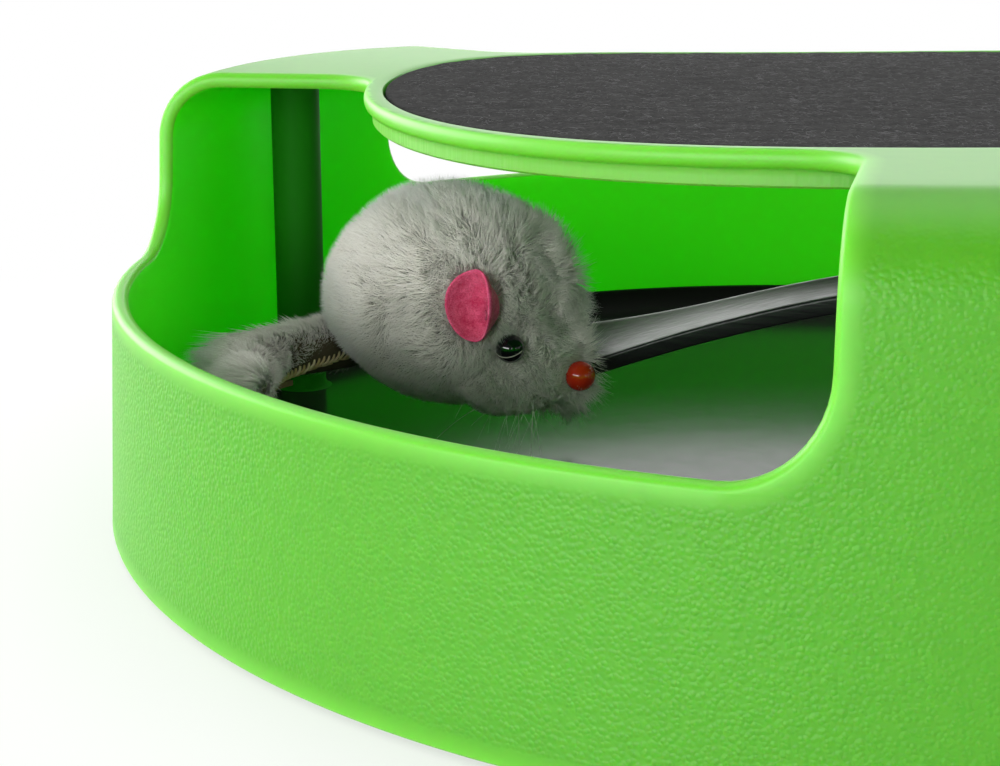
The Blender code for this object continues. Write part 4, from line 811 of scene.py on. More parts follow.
def black_nylon():
    """Nylon strap, extruded and cut. Its top carries a painted reflection, a streaky grey along its length,
    palest near the mouse; its sides and underside are satin black."""
    material, add, shader = start_material("black_nylon_extruded")
    place = add("TexCoord").outputs["Object"]
    top = add("Attribute", attribute_name="top").outputs["Fac"]
    run = add("Attribute", attribute_name="run").outputs["Fac"]
    squeezed = add("Mapping", {"Vector": place, "Rotation": (0.0, 0.0, -math.radians(7.5)),
                               "Scale": (0.03, 1.0, 1.0)})
    lines = add("TexNoise", {"Vector": squeezed, "Scale": 1300.0, "Detail": 3.0})
    bump = add("Bump", {"Height": lines, "Strength": 0.35, "Distance": 0.0002})
    # Painted reflection: the top's grey, paler towards the mouse, stands in for the light the black top
    # reflects
    painted_top_reflection = add("Mix", {0: run, 6: linear("#4C4F4A"), 7: linear("#8B9088")}, data_type="RGBA")
    streak = add("MapRange", {"Value": lines, "From Min": 0.35, "From Max": 0.7, "To Min": 0.8, "To Max": 1.12})
    streaked_top_reflection = add("VectorMath", {0: painted_top_reflection, "Scale": streak}, operation="SCALE")
    colour = add("Mix", {0: top, 6: linear("#18191A"), 7: streaked_top_reflection}, data_type="RGBA")
    rough = add("MapRange", {"Value": lines, "From Min": 0.3, "From Max": 0.7, "To Min": 0.34, "To Max": 0.46})
    plug(shader, {"Normal": bump, "Base Color": colour, "Roughness": rough, "IOR": 1.53})
    return material


def plain_finish(name, colour, roughness, metallic=0.0, scale=900.0, bump_mm=0.02, spread=0.08):
    """A finish with fine surface noise: its scale is in cells a metre, and its bump in millimetres."""
    material, add, shader = start_material(name)
    place = add("TexCoord").outputs["Object"]
    noise = add("TexNoise", {"Vector": place, "Scale": scale, "Detail": 3.0})
    bump = add("Bump", {"Height": noise, "Strength": 1.0, "Distance": bump_mm * MM})
    rough = add("MapRange", {"Value": noise, "From Min": 0.3, "From Max": 0.7, "To Min": roughness - spread,
                             "To Max": roughness + spread})
    plug(shader, {"Normal": bump, "Roughness": rough, "Base Color": linear(colour), "Metallic": metallic})
    return material


# Mouse

def mouse_matrix():
    """From the mouse's own frame to the drum's."""
    place = Vector((MOUSE_RADIUS * math.sin(MOUSE_AZIMUTH), -MOUSE_RADIUS * math.cos(MOUSE_AZIMUTH), STAND))
    return np.array(Matrix.Translation(place) @ Matrix.Rotation(MOUSE_HEADING, 4, "Z"))


MOUSE = mouse_matrix()


def to_world(points):
    """Points of the mouse's frame in the drum's."""
    return points @ MOUSE[:3, :3].T + MOUSE[:3, 3]


def body_surface(along, angle):
    """An egg: half width and half height swell as the sine of the place along it, to a power under one."""
    swell = np.sin(np.pi * along).clip(0.0) ** BODY_FULLNESS
    forward = BODY_REAR + BODY_LENGTH * (1.0 - np.cos(np.pi * along)) / 2.0
    return np.stack(np.broadcast_arrays(forward, BODY_WIDE * swell * np.cos(angle),
                                        BODY_MIDDLE + BODY_TALL * swell * np.sin(angle)), axis=-1)


def head_line(place):
    """The head's taper, by a third to the muzzle, and its middle height, which droops there."""
    return 1.0 - 0.34 * smooth_step(place, 0.333, 1.0), HEAD_MIDDLE - HEAD_DROOP * place ** 1.5


def head_surface(along, angle):
    """The head: swells like the body, fuller still, round its tapering and drooping line."""
    swell = np.sin(np.pi * along).clip(0.0) ** HEAD_FULLNESS
    place = (1.0 - np.cos(np.pi * along)) / 2.0
    taper, middle = head_line(place)
    return np.stack(np.broadcast_arrays(HEAD_REAR + HEAD_LENGTH * place,
                                        HEAD_WIDE * taper * swell * np.cos(angle),
                                        middle + HEAD_TALL * taper * swell * np.sin(angle)), axis=-1)


def inside_body(points, grow):
    """Whether points in the mouse's frame are inside the egg grown by so much."""
    place = np.clip((points[:, 0] - BODY_REAR + grow) / (BODY_LENGTH + 2.0 * grow), 0.0, 1.0)
    swell = np.maximum(np.sin(np.arccos(1.0 - 2.0 * place)), 1e-6) ** BODY_FULLNESS
    wide = (BODY_WIDE + grow) * swell
    tall = (BODY_TALL + grow) * swell
    return (points[:, 1] / wide) ** 2 + ((points[:, 2] - BODY_MIDDLE) / tall) ** 2 < 1.0


def inside_head(points, grow):
    """Whether points in the mouse's frame are inside the head grown by so much."""
    place = np.clip((points[:, 0] - HEAD_REAR + grow) / (HEAD_LENGTH + 2.0 * grow), 0.0, 1.0)
    swell = np.maximum(np.sin(np.arccos(1.0 - 2.0 * place)), 1e-6) ** HEAD_FULLNESS
    taper, middle = head_line(place)
    wide = (HEAD_WIDE * taper + grow) * swell
    tall = (HEAD_TALL * taper + grow) * swell
    return (points[:, 1] / wide) ** 2 + ((points[:, 2] - middle) / tall) ** 2 < 1.0


def scattered_roots(surface, count, rows=90, columns=140):
    """Random points and outward normals on a closed surface of two parameters, even over its area."""
    along = np.linspace(0.002, 0.998, rows)
    angle = np.linspace(0.0, 2.0 * np.pi, columns + 1)
    grid = surface(along[:, None], angle[None])
    low = grid[:-1, :-1]
    by_row = grid[1:, :-1] - low
    by_column = grid[:-1, 1:] - low
    cross = np.cross(by_column, by_row)
    area = np.linalg.norm(cross, axis=-1).ravel()
    chosen = chance.choice(area.size, count, p=area / area.sum())
    row, column = np.unravel_index(chosen, by_row.shape[:2])
    u, v = chance.uniform(0.0, 1.0, (2, count, 1))
    points = low[row, column] + by_row[row, column] * u + by_column[row, column] * v
    normals = unit(cross[row, column])
    return points, normals


def wander(points, size, seed):
    """A smooth random direction at each point: sums of sines of turned coordinates, of about that size."""
    pick = np.random.default_rng(seed)
    total = np.zeros_like(points)
    for octave in range(3):
        waves = pick.normal(0.0, 1.0, (3, 3)) * (2.0 ** octave) / size
        total += np.sin(points @ waves.T + pick.uniform(0.0, 6.0, 3)) / (1.5 ** octave)
    return total


def spindle_hairs(roots, heading, tip_heading, lengths, widths):
    """Hairs as thin spindles: a point at the root, three points a third of the way up, and a point at the
    tip, which leans over by its own heading. Returns points and triangles."""
    count = len(roots)
    knee = roots + heading * (lengths * 0.42)[:, None]
    tip = knee + tip_heading * (lengths * 0.58)[:, None]
    side = unit(np.cross(heading, [0.2, 0.5, 0.8]))
    other = np.cross(heading, side)
    ring = [knee + (side * math.cos(a) + other * math.sin(a)) * widths[:, None] for a in (0.0, 2.094, 4.189)]
    base = roots - heading * (0.3 * MM)
    points = np.stack([base, *ring, tip], axis=1)
    pattern = np.array([(0, 2, 1), (0, 3, 2), (0, 1, 3), (4, 1, 2), (4, 2, 3), (4, 3, 1)])
    faces = (pattern[None] + (np.arange(count) * 5)[:, None, None]).reshape(-1, 3)
    return points.reshape(-1, 3), faces


def hair_piece(name, hairs, material):
    """A soft piece from hairs, given as spindle_hairs takes them."""
    points, triangles = spindle_hairs(*hairs)
    piece = make_piece(name, points, [triangles], material, "rotor", hair_uv=hair_coordinates(len(hairs[0])))


def hair_coordinates(count):
    """For each hair a tone across, a hair's breadth wide, and the way from root to tip up."""
    tone = chance.uniform(0.02, 0.98, count)
    across = np.array([0.0, -0.006, 0.0, 0.006, 0.0])
    up = np.array([0.02, 0.4, 0.42, 0.4, 0.98])
    return np.stack([tone[:, None] + across[None], np.broadcast_to(up, (count, 5))], axis=-1).reshape(-1, 2)


def ear_frame(sign):
    """The ear's own axes in the mouse's frame: ahead, up and out through its mouth, and its root."""
    mouth = np.array([math.tan(math.radians(22.0)), sign, math.tan(math.radians(10.0))])
    mouth /= np.linalg.norm(mouth)
    up = np.array([0.0, 0.0, 1.0]) - mouth * mouth[2]
    up /= np.linalg.norm(up)
    ahead = np.cross(mouth, up) * sign
    return ahead, up, mouth


# Places in the mouse's frame: the left eye and ear, the nose, and the middle of the tuft on the brow
EYE_PLACE = np.array([16.6 * MM, 9.29 * MM, 20.98 * MM])
EAR_PLACE = np.array([11.98 * MM, 11.75 * MM, 27.86 * MM])
NOSE_PLACE = np.array([24.33 * MM, 0.0, 15.46 * MM])
BROW_PLACE = np.array([12.0 * MM, 5.0 * MM, 36.0 * MM])
EYE_RADIUS = 2.35 * MM
BODY_HAIRS, HEAD_HAIRS = 84000, 46000
OTHER_SIDE = np.array([1.0, -1.0, 1.0])
NOSE_RADIUS = 2.5 * MM


def skin_coat(material):
    """The mouse's skin, body and head in one piece."""
    skin = Patches()
    along = np.linspace(0.0, 1.0, 49)[:, None]
    angle = np.linspace(0.0, 2.0 * np.pi, 64, endpoint=False)[None]
    skin.lay(to_world(body_surface(along, angle)), wrap=True)
    skin.lay(to_world(head_surface(along, angle)), wrap=True)
    points, faces, _ = skin.arrays()
    coat = make_piece("mouse_coat", points, faces, material, "rotor", weld=FINE_WELD)
    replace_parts(coat, "mouse_body", "mouse_head")


def hair_roots():
    """Roots and normals over the body and the head, but for what is inside the other or under a bead."""
    hairs = []
    forms = (body_surface, inside_head, BODY_HAIRS), (head_surface, inside_body, HEAD_HAIRS)
    beads = (EYE_PLACE, EYE_RADIUS), (EYE_PLACE * OTHER_SIDE, EYE_RADIUS), (NOSE_PLACE, NOSE_RADIUS)
    for surface, hidden, count in forms:
        roots, normals = scattered_roots(surface, count)
        keep = ~hidden(roots, -0.2 * MM)
        for bead, radius in beads:
            keep &= np.linalg.norm(roots - bead, axis=1) > radius * 1.02
        hairs.append((roots[keep], normals[keep]))
    return (np.concatenate(parts) for parts in zip(*hairs))


def hair_lengths(roots, muzzle, off_side, low):
    """Longest on the brow and the muzzle's off side; short on belly, rump and cheek, and round the beads."""
    rump = smooth_step(-roots[:, 0], 4.0 * MM, 18.0 * MM)
    cheek = off_side * smooth_step(roots[:, 0], 0.0, 8.0 * MM) * (1.0 - muzzle)
    brow = np.exp(-(np.linalg.norm(roots - BROW_PLACE, axis=1) / (7.0 * MM)) ** 2)
    lengths = 4.6 - 1.4 * muzzle * (1.0 - off_side) + 2.6 * muzzle * off_side + 2.4 * brow
    lengths -= 3.0 * low * (1.0 - muzzle * off_side)
    lengths = np.maximum(lengths - 1.8 * rump - 1.6 * cheek, 1.3)
    lengths *= MM * chance.uniform(0.72, 1.12, len(roots))
    near_eye = np.linalg.norm(roots - EYE_PLACE * OTHER_SIDE, axis=1)
    lengths *= 0.45 + 0.55 * smooth_step(near_eye, 2.2 * MM, 5.5 * MM)
    near_nose = np.linalg.norm(roots - NOSE_PLACE, axis=1)
    return lengths * (1.0 - 0.5 * (1.0 - off_side) * (1.0 - smooth_step(near_nose, 2.4 * MM, 5.0 * MM)))


def fur_coat(skin_material, hair_material, whisker_material):
    """The skin, the hairs on it in three pieces, and a few whiskers. The hairs are combed back on the body
    and forwards on the muzzle, lean together in tufts and swirls, and stray a little."""
    skin_coat(skin_material)
    roots, normals = hair_roots()
    count = len(roots)
    muzzle = smooth_step(roots[:, 0], 9.0 * MM, 21.0 * MM)
    off_side = smooth_step(roots[:, 1], -2.0 * MM, 4.0 * MM)
    low = smooth_step(BODY_MIDDLE - roots[:, 2], 3.0 * MM, 13.0 * MM)
    lengths = hair_lengths(roots, muzzle, off_side, low)
    comb = np.stack([-0.3 + 0.7 * muzzle, np.zeros(count), 0.3 * (1.0 - muzzle) * (1.0 - low) - 0.12], axis=1)
    tuft = wander(roots, 2.0 * MM, 5) * (0.2 + 0.36 * muzzle[:, None])
    swirl = wander(roots, 9.0 * MM, 6) * 0.16
    stray = chance.normal(0.0, 0.14, (count, 3))
    heading = unit(normals + comb * 0.6 + tuft + swirl + stray)
    heading = unit(heading + normals * np.maximum(0.25 - (heading * normals).sum(axis=1), 0.0)[:, None])
    tip_heading = unit(heading + comb * 0.6 + tuft * 0.8 + chance.normal(0.0, 0.18, (count, 3)))
    widths = chance.uniform(0.04, 0.066, count) * MM
    tips = roots + (heading * 0.42 + tip_heading * 0.58) * lengths[:, None]
    clear = clear_of_ears(roots) & clear_of_ears(tips) & clear_of_ears((roots + tips) / 2.0)
    parts = np.array_split(chance.permutation(np.flatnonzero(clear)), 3)
    for number, part in enumerate(parts, 1):
        turned = heading[part] @ MOUSE[:3, :3].T, tip_heading[part] @ MOUSE[:3, :3].T
        hairs = to_world(roots[part]), *turned, lengths[part], widths[part]
        hair_piece("mouse_hair_%d" % number, hairs, hair_material)
    chin_whiskers(whisker_material)


def clear_of_ears(points):
    """Whether points in the mouse's frame are outside both ear cups and the space in front of their mouths."""
    clear = np.ones(len(points), dtype=bool)
    for sign in (-1.0, 1.0):
        ahead, up, mouth = ear_frame(sign)
        offset = points - EAR_PLACE * np.array([1.0, sign, 1.0])
        wide = (offset @ ahead + 0.1 * MM) / (4.4 * MM)
        tall = (offset @ up - 0.2 * MM) / (5.4 * MM)
        clear &= (wide ** 2 + tall ** 2 > 1.0) | (offset @ mouth < -0.4 * MM)
    return clear


def chin_whiskers(material):
    """Long fine hairs from the chin and cheek, each a thin tube bowed down by its own weight."""
    tubes = []
    for whisker in range(22):
        start = np.array([chance.uniform(9.0, 21.0), chance.uniform(-9.0, -2.0),
                          chance.uniform(9.5, 14.0)]) * MM
        ahead = unit(np.array([chance.normal(0.1, 0.6), chance.uniform(-0.9, -0.2),
                               chance.uniform(-1.0, -0.35)]))
        share = np.linspace(0.0, 1.0, 9)[:, None]
        reach = chance.uniform(5.0, 9.0) * MM
        line = start + ahead * reach * share + np.array([0.0, 0.0, -1.6 * MM]) * share ** 2
        tubes.append(swept_grid(to_world(line), 0.045 * MM * (1.0 - 0.75 * share[:, 0]), 4)[1:-1])
    fibre_piece("chin_whiskers", np.stack(tubes), material)


def tail_path(steps):
    """The tail's middle line: it swings out from the rump and follows the wall, rising a little."""
    root_height = BODY_MIDDLE - 9.2 * MM
    root = to_world(np.array([[BODY_REAR + 1.32 * MM, 0.0, root_height]]))[0]
    start_azimuth = math.atan2(root[0], -root[1])
    start_radius = math.hypot(root[0], root[1])
    share = np.linspace(0.0, 1.0, steps)
    out = FOOT - 21.2 * MM
    radius = start_radius + (out - start_radius) * smooth_step(share, 0.0, 0.45)
    azimuth = start_azimuth + TAIL_LENGTH / out * share
    return polar_points(radius, azimuth, root_height + 4.5 * MM * share ** 2 + STAND), share


def tail_radius(share):
    """Tapers evenly, and rounds off over the last tenth."""
    ended = np.clip((share - 0.9) / 0.1, 0.0, 1.0)
    return (4.4 - 1.8 * share) * MM * np.sqrt(1.0 - 0.6 * ended ** 2)


def fur_tail(painted_shade_skin_material, hair_material, thread_material, backing_material):
    """A tapering tube with hairs combed towards a wispy tip, and its tape backing with an overcast seam. The
    strip below the seam is bare; the tube's dark skin there is painted shade."""
    path, share = tail_path(70)
    radii = tail_radius(share)
    tail = grid_piece("mouse_tail_coat", swept_grid(path, radii, 36), painted_shade_skin_material, "rotor", weld=FINE_WELD)
    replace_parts(tail, "mouse_tail")
    count = 22000
    pick = chance.choice(len(path) - 1, count, p=radii[:-1] / radii[:-1].sum())
    t = chance.uniform(0.0, 1.0, count)[:, None]
    centre = path[pick] * (1.0 - t) + path[pick + 1] * t
    radius = radii[pick] * (1.0 - t[:, 0]) + radii[pick + 1] * t[:, 0]
    along = unit(np.gradient(path, axis=0))[pick]
    inward = unit(centre * np.array([-1.0, -1.0, 0.0]))
    down = np.array([0.0, 0.0, -1.0])
    turn = chance.uniform(-np.pi, np.pi, count)
    seam = seam_angle(share[pick])
    keep = (turn < seam - 0.28) | (turn > 0.5 * np.pi + 0.35)
    normals = inward * np.cos(turn)[:, None] + down * np.sin(turn)[:, None]
    roots = centre + normals * radius[:, None]
    run = share[pick]
    apart = np.where(turn < seam, smooth_step(seam - turn, 0.2, 1.3), 1.0)
    normals, roots, along, run, apart = normals[keep], roots[keep], along[keep], run[keep], apart[keep]
    cap = unit(chance.normal(0.0, 1.0, (1500, 3)))
    ahead = unit(path[-1] - path[-2])
    cap = cap * np.sign((cap @ ahead) + 1e-9)[:, None]
    normals = np.concatenate([normals, cap])
    roots = np.concatenate([roots, path[-1] + cap * radii[-1] * 0.9])
    along = np.concatenate([along, np.tile(ahead, (1500, 1))])
    run = np.concatenate([run, np.ones(1500)])
    apart = np.concatenate([apart, np.ones(1500)])
    to_wall = unit(roots * np.array([1.0, 1.0, 0.0]))
    count = len(roots)
    fan = np.exp(-((run - 0.45) / 0.24) ** 2) * np.clip((normals * to_wall).sum(axis=1) + 0.25, 0.0, 1.0)
    late = np.maximum(fan, smooth_step(run, 0.75, 1.0) * 0.6)[:, None]
    tuft = wander(roots, 2.0 * MM, 9) * 0.24
    lift = np.array([0.0, 0.0, 0.22]) * late
    heading = unit(normals * (1.0 - 0.7 * late) + along * (0.5 - 0.3 * late) + to_wall * 1.3 * late + tuft
                   + lift + chance.normal(0.0, 0.12, (count, 3)))
    tip_heading = unit(heading * (1.0 - 0.5 * late) + along * 0.6 * (1.0 - late) + to_wall * 1.3 * late + tuft
                       * 0.6 - lift)
    lengths = chance.uniform(0.6, 1.1, count) * (2.7 + 7.0 * late[:, 0] ** 1.5) * (0.3 + 0.7 * apart) * MM
    widths = chance.uniform(0.045, 0.07, count) * MM
    hair_piece("mouse_tail_hair", (roots, heading, tip_heading, lengths, widths), hair_material)
    smooth_copy("tail_backing", "tail_tape", backing_material, "rotor")
    overcast_seam(thread_material)


def seam_angle(share):
    """Where the seam lies round the tail, as an angle below its inward side: it winds from the side of the
    root to below."""
    return np.radians(2.0 + 60.0 * smooth_step(share, 0.1, 0.6))


def overcast_seam(material):
    """Slanting stitches along the tail where its fur ends: each a short bowed thread of a few dozen faces."""
    path, share = tail_path(400)
    radii = tail_radius(share)
    inward = unit(path * np.array([-1.0, -1.0, 0.0]))
    down = np.array([0.0, 0.0, -1.0])
    along = unit(np.gradient(path, axis=0))
    stitches = []
    for index in range(24, 390, 7):
        angle = seam_angle(share[index]) + chance.normal(0.0, 0.03)
        out = inward[index] * math.cos(angle) + down * math.sin(angle)
        across = down * math.cos(angle) - inward[index] * math.sin(angle)
        steps = np.linspace(-1.0, 1.0, 7)[:, None]
        middle = path[index] + out * (radii[index] + 0.3 * MM)
        sweep = across * (0.95 * MM) * steps
        lean = along[index] * (0.5 * MM) * steps
        bow = out * (0.6 * MM) * (1.0 - steps ** 2)
        stitches.append(middle + sweep + lean + bow)
        stitches.append(middle + across * (0.95 * MM) + along[index] * (0.8 * MM) * steps + bow * 0.4)
    fibre_piece("tail_seam", np.stack([swept_grid(line, 0.25 * MM, 5)[1:-1] for line in stitches]), material)


def felt_ear(name, node, sign, material, fibre_material, thread_material):
    """A felt cup: its depth grows as the square of the distance from its root, which lies towards its lower
    front. Its front edge stands up a little, and its rim is thick and round. The off ear is pressed flatter."""
    ahead, up, mouth = ear_frame(sign)
    place = EAR_PLACE * np.array([1.0, sign, 1.0])
    tall, wide, deep, thick = 5.3 * MM, 4.3 * MM, 3.0 * MM, 1.15 * MM
    press = 1.0 if sign < 0.0 else 0.4
    tall, wide = (tall, wide) if sign < 0.0 else (1.06 * tall, 1.1 * wide)
    share = np.linspace(0.0, 1.0, 26)
    angle = np.linspace(0.0, 2.0 * np.pi, 84, endpoint=False)

    def cup(s, a, lift):
        """Points at a share s of the way from root to rim, at an angle a, lifted off the cup's back."""
        front = np.clip(np.cos(a - 0.1), 0.0, 1.0) ** 1.3
        fold = front * smooth_step(s, 0.66, 1.0)
        x = wide * (s + 0.25 * front * (s - s * s)) * np.cos(a) + 1.7 * MM * (1.0 - s) - 1.1 * MM * fold
        x -= lift * 0.7 * front * s
        y = tall * s * np.sin(a) - 1.3 * MM * (1.0 - s) + 0.4 * MM * s + 0.35 * MM * np.sin(2.0 * a
                                                                                            + 0.6) * s ** 2
        z = deep * s ** 2 + 1.2 * MM * fold - 0.6 * MM + 0.22 * MM * np.sin(3.0 * a + 1.0) * s ** 2
        z = z * press + lift * (1.0 - 0.5 * fold)
        return place + ahead * x[..., None] + up * y[..., None] + mouth * z[..., None]

    s, a = share[:, None], angle[None]
    back = cup(s, a, 0.0)
    front = cup(s, a, thick)
    middle = (back[-1] + front[-1]) / 2.0
    outward = unit(back[-1] - back[-3])
    roll = np.linspace(0.0, np.pi, 9)[1:-1]
    rim = np.stack([middle + (back[-1] - middle) * math.cos(r) + outward * (0.6 * thick * math.sin(r))
                    for r in roll])
    grid = np.concatenate([back, rim, front[::-1]])
    offset = (grid - place) / MM
    # Painted shade: a darker patch in the crease at the cup's root, where shade falls
    painted_crease_shade = np.exp(-(((offset @ ahead) - 2.3) / 1.1) ** 2 - (((offset @ up) + 1.0) / 2.0) ** 2)
    painted_crease_shade = (painted_crease_shade * smooth_step(4.0 - (offset @ mouth), 0.0, 2.5)).ravel()
    piece = grid_piece(name, to_world(grid), material, "rotor", values={"painted_crease_shade": painted_crease_shade}, weld=FINE_WELD)
    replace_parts(piece, node)

    def roots(count):
        s = np.sqrt(chance.uniform(0.02, 1.0, count))
        edge = chance.uniform(0.0, 1.0, count) < 0.35
        s = np.where(edge, chance.uniform(0.93, 1.04, count), s)
        a = chance.uniform(0.0, 2.0 * np.pi, count)
        lift = np.where(chance.uniform(0.0, 1.0, count) < 0.75, thick, 0.0)
        normals = np.where((lift > 0)[:, None], mouth, -mouth)
        spread = ahead * np.cos(a)[:, None] + up * np.sin(a)[:, None]
        normals = unit(normals + spread * np.where(edge, 1.2, -0.5 * s)[:, None])
        return to_world(cup(s, a, lift)), normals @ MOUSE[:3, :3].T

    tubes = curled_fibres(1700, roots, 0.9 * MM, 0.018 * MM, 0.16 * MM)
    fuzz = fibre_piece(name + "_fuzz", tubes, fibre_material)
    root = cup(np.array([0.0]), np.array([0.0]), thick)[0]
    stitches = []
    for number in range(3):
        turn = 1.2 + 0.35 * number + chance.uniform(-0.1, 0.1)
        way = ahead * math.cos(turn) + up * math.sin(turn)
        steps = np.linspace(-1.0, 1.0, 7)[:, None]
        line = root + way * (0.8 * MM * steps) + mouth * (0.35 * MM * (1.0 - steps ** 2) + 0.2 * MM
                                                          * steps ** 2)
        stitches.append(swept_grid(to_world(line), 0.1 * MM, 6)[1:-1])
    fibre_piece(name + "_stitches", np.stack(stitches), thread_material)
    return piece, fuzz


def bead_grid(centre, radius):
    """A ball with its poles to either side of the mouse, where a bead's thread hole is."""
    slope = np.linspace(0.0, np.pi, 40)[:, None]
    turn = np.linspace(0.0, 2.0 * np.pi, 56, endpoint=False)[None]
    x = radius * np.sin(slope) * np.cos(turn)
    y = radius * np.cos(slope) * np.ones_like(turn)
    z = radius * np.sin(slope) * np.sin(turn)
    return to_world(np.stack([x, y, z], axis=-1) + centre)


def bead_face(materials):
    """Eye beads with a sewing thread drawn over each, and the nose bead."""
    jet, red, thread = materials
    for sign, side in ((-1.0, "right"), (1.0, "left")):
        centre = EYE_PLACE * np.array([1.0, sign, 1.0])
        eye = grid_piece("eye_%s" % side, bead_grid(centre, EYE_RADIUS), jet, "rotor", weld=FINE_WELD)
        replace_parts(eye, "eye_bead_%s" % side)
        turn = np.linspace(-1.15, 1.15, 31)
        out = unit(np.array([0.3, sign * 0.85, -0.3]))
        ahead = unit(np.cross(out, [0.15 * sign, 0.0, 1.0])) * sign
        line = out * np.cos(turn)[:, None] + ahead * np.sin(turn)[:, None]
        sag = np.array([0.0, 0.0, -0.1]) * (np.cos(turn * 1.2) ** 2)[:, None]
        line = unit(line + sag) * (EYE_RADIUS + 0.06 * MM) + centre
        grid_piece("eye_thread_%s" % side, swept_grid(to_world(line), 0.07 * MM, 8), thread, "rotor", weld=1e-7)
    nose = grid_piece("nose", bead_grid(NOSE_PLACE, NOSE_RADIUS), red, "rotor", weld=FINE_WELD)
    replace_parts(nose, "nose_bead")


def grey_fur(name, root, low_tip, high_tip):
    """Acrylic plush pile: soft grey fibres, darker at the root, with tips that differ from hair to hair."""
    material, add, shader = start_material(name)
    coordinates = add("UVMap", uv_map="OFBake").outputs["UV"]
    parts = add("SeparateXYZ", {"Vector": coordinates})
    tips = add("Mix", {0: parts.outputs["X"], 6: linear(low_tip), 7: linear(high_tip)}, data_type="RGBA")
    place = add("TexCoord").outputs["Object"]
    patches = add("TexNoise", {"Vector": place, "Scale": 220.0, "Detail": 2.0})
    stained = add("MapRange", {"Value": patches, "From Min": 0.35, "From Max": 0.65, "To Min": 0.35,
                               "To Max": 0.0})
    toned = add("Mix", {0: stained, 6: tips, 7: linear(low_tip)}, data_type="RGBA")
    up = add("MapRange", {"Value": parts.outputs["Y"], "From Min": 0.0, "From Max": 0.6},
             interpolation_type="SMOOTHSTEP")
    colour = add("Mix", {0: up, 6: linear(root), 7: toned}, data_type="RGBA")
    plug(shader, {"Base Color": colour, "Roughness": 0.55, "Specular IOR Level": 0.35, "Sheen Weight": 1.0,
                  "Sheen Roughness": 0.5})
    return material


def toned_thread(name, low, high, roughness=0.8):
    """Sewing thread or loose fibre: a matt twist whose shade differs from strand to strand."""
    material, add, shader = start_material(name)
    tone = add("Attribute", attribute_name="tone").outputs["Fac"]
    colour = add("Mix", {0: tone, 6: linear(low), 7: linear(high)}, data_type="RGBA")
    plug(shader, {"Base Color": colour, "Roughness": roughness})
    return material


def pink_felt():
    """Wool felt, pressed and cut: matt, with a short nap that pales its edges and a mottle a mm or so wide.
    The crease at an ear's root is darkened with painted shade.
    """
    material, add, shader = start_material("pink_wool_felt")
    place = add("TexCoord").outputs["Object"]
    fibres = add("TexNoise", {"Vector": place, "Scale": 3800.0, "Detail": 4.0})
    mottle = add("TexNoise", {"Vector": place, "Scale": 700.0, "Detail": 2.0})
    mixed = add("Math", {0: fibres, 1: mottle}, operation="MULTIPLY")
    amount = add("MapRange", {"Value": mixed, "From Min": 0.12, "From Max": 0.4})
    colour = add("Mix", {0: amount, 6: linear("#D83768"), 7: linear("#FF76A2")}, data_type="RGBA")
    # Painted shade: the crease at the ear's root is darkened towards a deep pink
    painted_crease_shade = add("Attribute", attribute_name="painted_crease_shade").outputs["Fac"]
    with_painted_crease_shade = add("Mix", {0: painted_crease_shade, 6: colour, 7: linear("#7C1038")}, data_type="RGBA")
    bump = add("Bump", {"Height": fibres, "Strength": 0.7, "Distance": 0.00015})
    plug(shader, {"Base Color": with_painted_crease_shade, "Normal": bump, "Roughness": 0.9, "Specular IOR Level": 0.2,
                  "Sheen Weight": 0.3, "Sheen Roughness": 0.4})
    return material


def glass_bead(name, colour, roughness=0.06):
    """Glass bead, drawn and tumbled: deep colour under a clear gloss, with the odd bubble as a soft spot."""
    material, add, shader = start_material(name)
    place = add("TexCoord").outputs["Object"]
    spots = add("TexNoise", {"Vector": place, "Scale": 900.0, "Detail": 1.0})
    rough = add("MapRange", {"Value": spots, "From Min": 0.4, "From Max": 0.7, "To Min": roughness,
                             "To Max": roughness + 0.08})
    plug(shader, {"Roughness": rough, "Base Color": linear(colour), "IOR": 1.52, "Coat Weight": 0.5,
                  "Coat Roughness": 0.03})
    return material


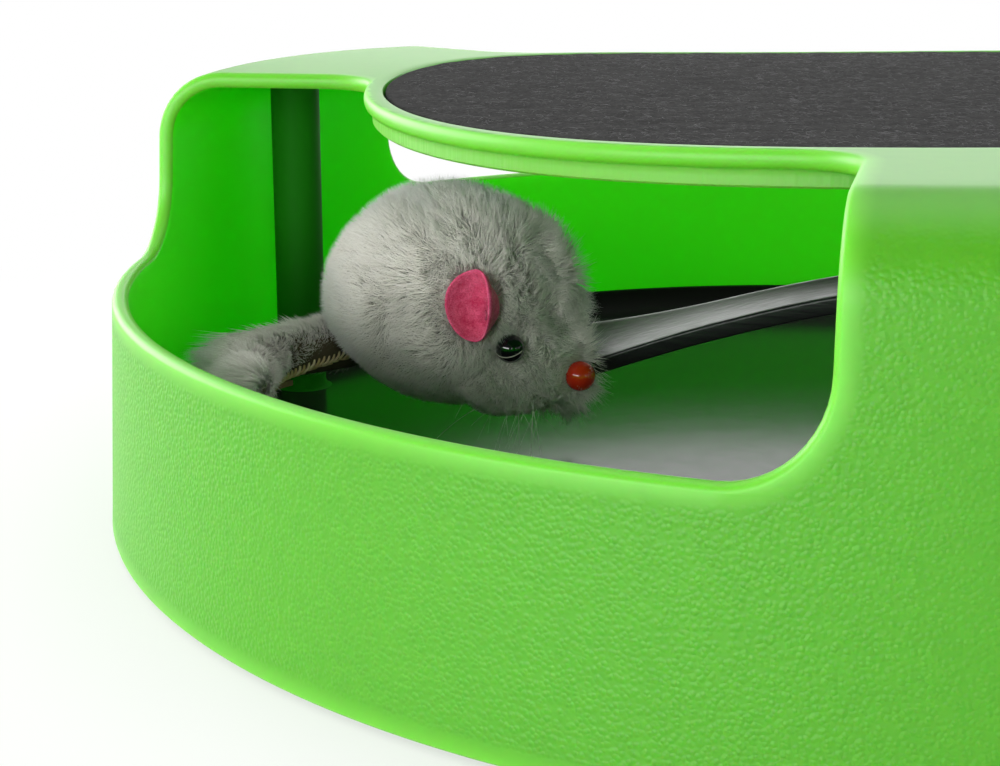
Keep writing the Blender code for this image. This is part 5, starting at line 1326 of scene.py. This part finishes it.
def build_mouse():
    """The mouse with its coat, tail, ears and beads."""
    hair = grey_fur("grey_acrylic_plush", "#CCC7B9", "#E6E2D7", "#FFFCF5")
    skin = plain_finish("plush_backing_knit", "#C9C6BD", 0.9, scale=1200.0, bump_mm=0.15)
    pale_thread = toned_thread("pale_sewing_thread", "#B9B6A8", "#DAD7CA")
    dark_thread = toned_thread("dark_pink_thread", "#7A1F3C", "#D0708C")
    tan_thread = toned_thread("tan_overcast_thread", "#C0A872", "#E8DAAE")
    whisker = toned_thread("pale_nylon_whisker", "#C9CABF", "#F4F4EE", roughness=0.4)
    # Painted shade: the tail's skin is the tan backing darkened to the shade of the bare strip below its seam
    strip = plain_finish("tail_knit_painted_shade", "#5A523C", 0.9, scale=1200.0, bump_mm=0.15)
    tape = plain_finish("tan_cotton_tape", "#9C8660", 0.9, scale=1500.0, bump_mm=0.2)
    fur_coat(skin, hair, whisker)
    fur_tail(strip, hair, tan_thread, tape)
    ear_felt = pink_felt()
    ear_fuzz = toned_thread("pink_wool_fibre", "#D9487A", "#FF8DB2")
    for name, node, sign in (("right_ear", "ear_right", -1.0), ("left_ear", "ear_left", 1.0)):
        ear, fuzz = felt_ear(name, node, sign, ear_felt, ear_fuzz, dark_thread)
    bead_face((glass_bead("black_glass_bead", "#0B0C10"), glass_bead("red_glass_bead", "#C42C16"), pale_thread))


def build_drum():
    """All that isn't the mouse."""
    drum_cover(green_polypropylene())
    scratch_felt(charcoal_felt(), felt_fibres())
    base_dish(black_styrene())
    strap_arm(black_nylon())
    white = plain_finish("white_acetal_turned", "#E4E3DC", 0.3, scale=2200.0, bump_mm=0.01)
    steel = plain_finish("zinc_plated_steel", "#B9BBBD", 0.3, metallic=1.0, scale=1800.0, bump_mm=0.01)
    rubber = plain_finish("grey_rubber_die_cut", "#3A3A3B", 0.85, scale=1400.0, bump_mm=0.05)
    smooth_copy("hub_bush", "bush", white, "rotor")
    smooth_copy("hub_cap", "hub_washer", white, "rotor")
    smooth_copy("retaining_ring", "spindle_clip", steel, "housing")
    for number in (1, 2, 3):
        smooth_copy("rubber_foot_%d" % number, "foot_pad_%d" % number, rubber, "housing")
        smooth_copy("cover_screw_%d" % number, "screw_%d" % number, steel, "housing", sharp=25.0)


place_camera()
light_room()
build_drum()
build_mouse()
bpy.context.scene.view_settings.view_transform = "Standard"
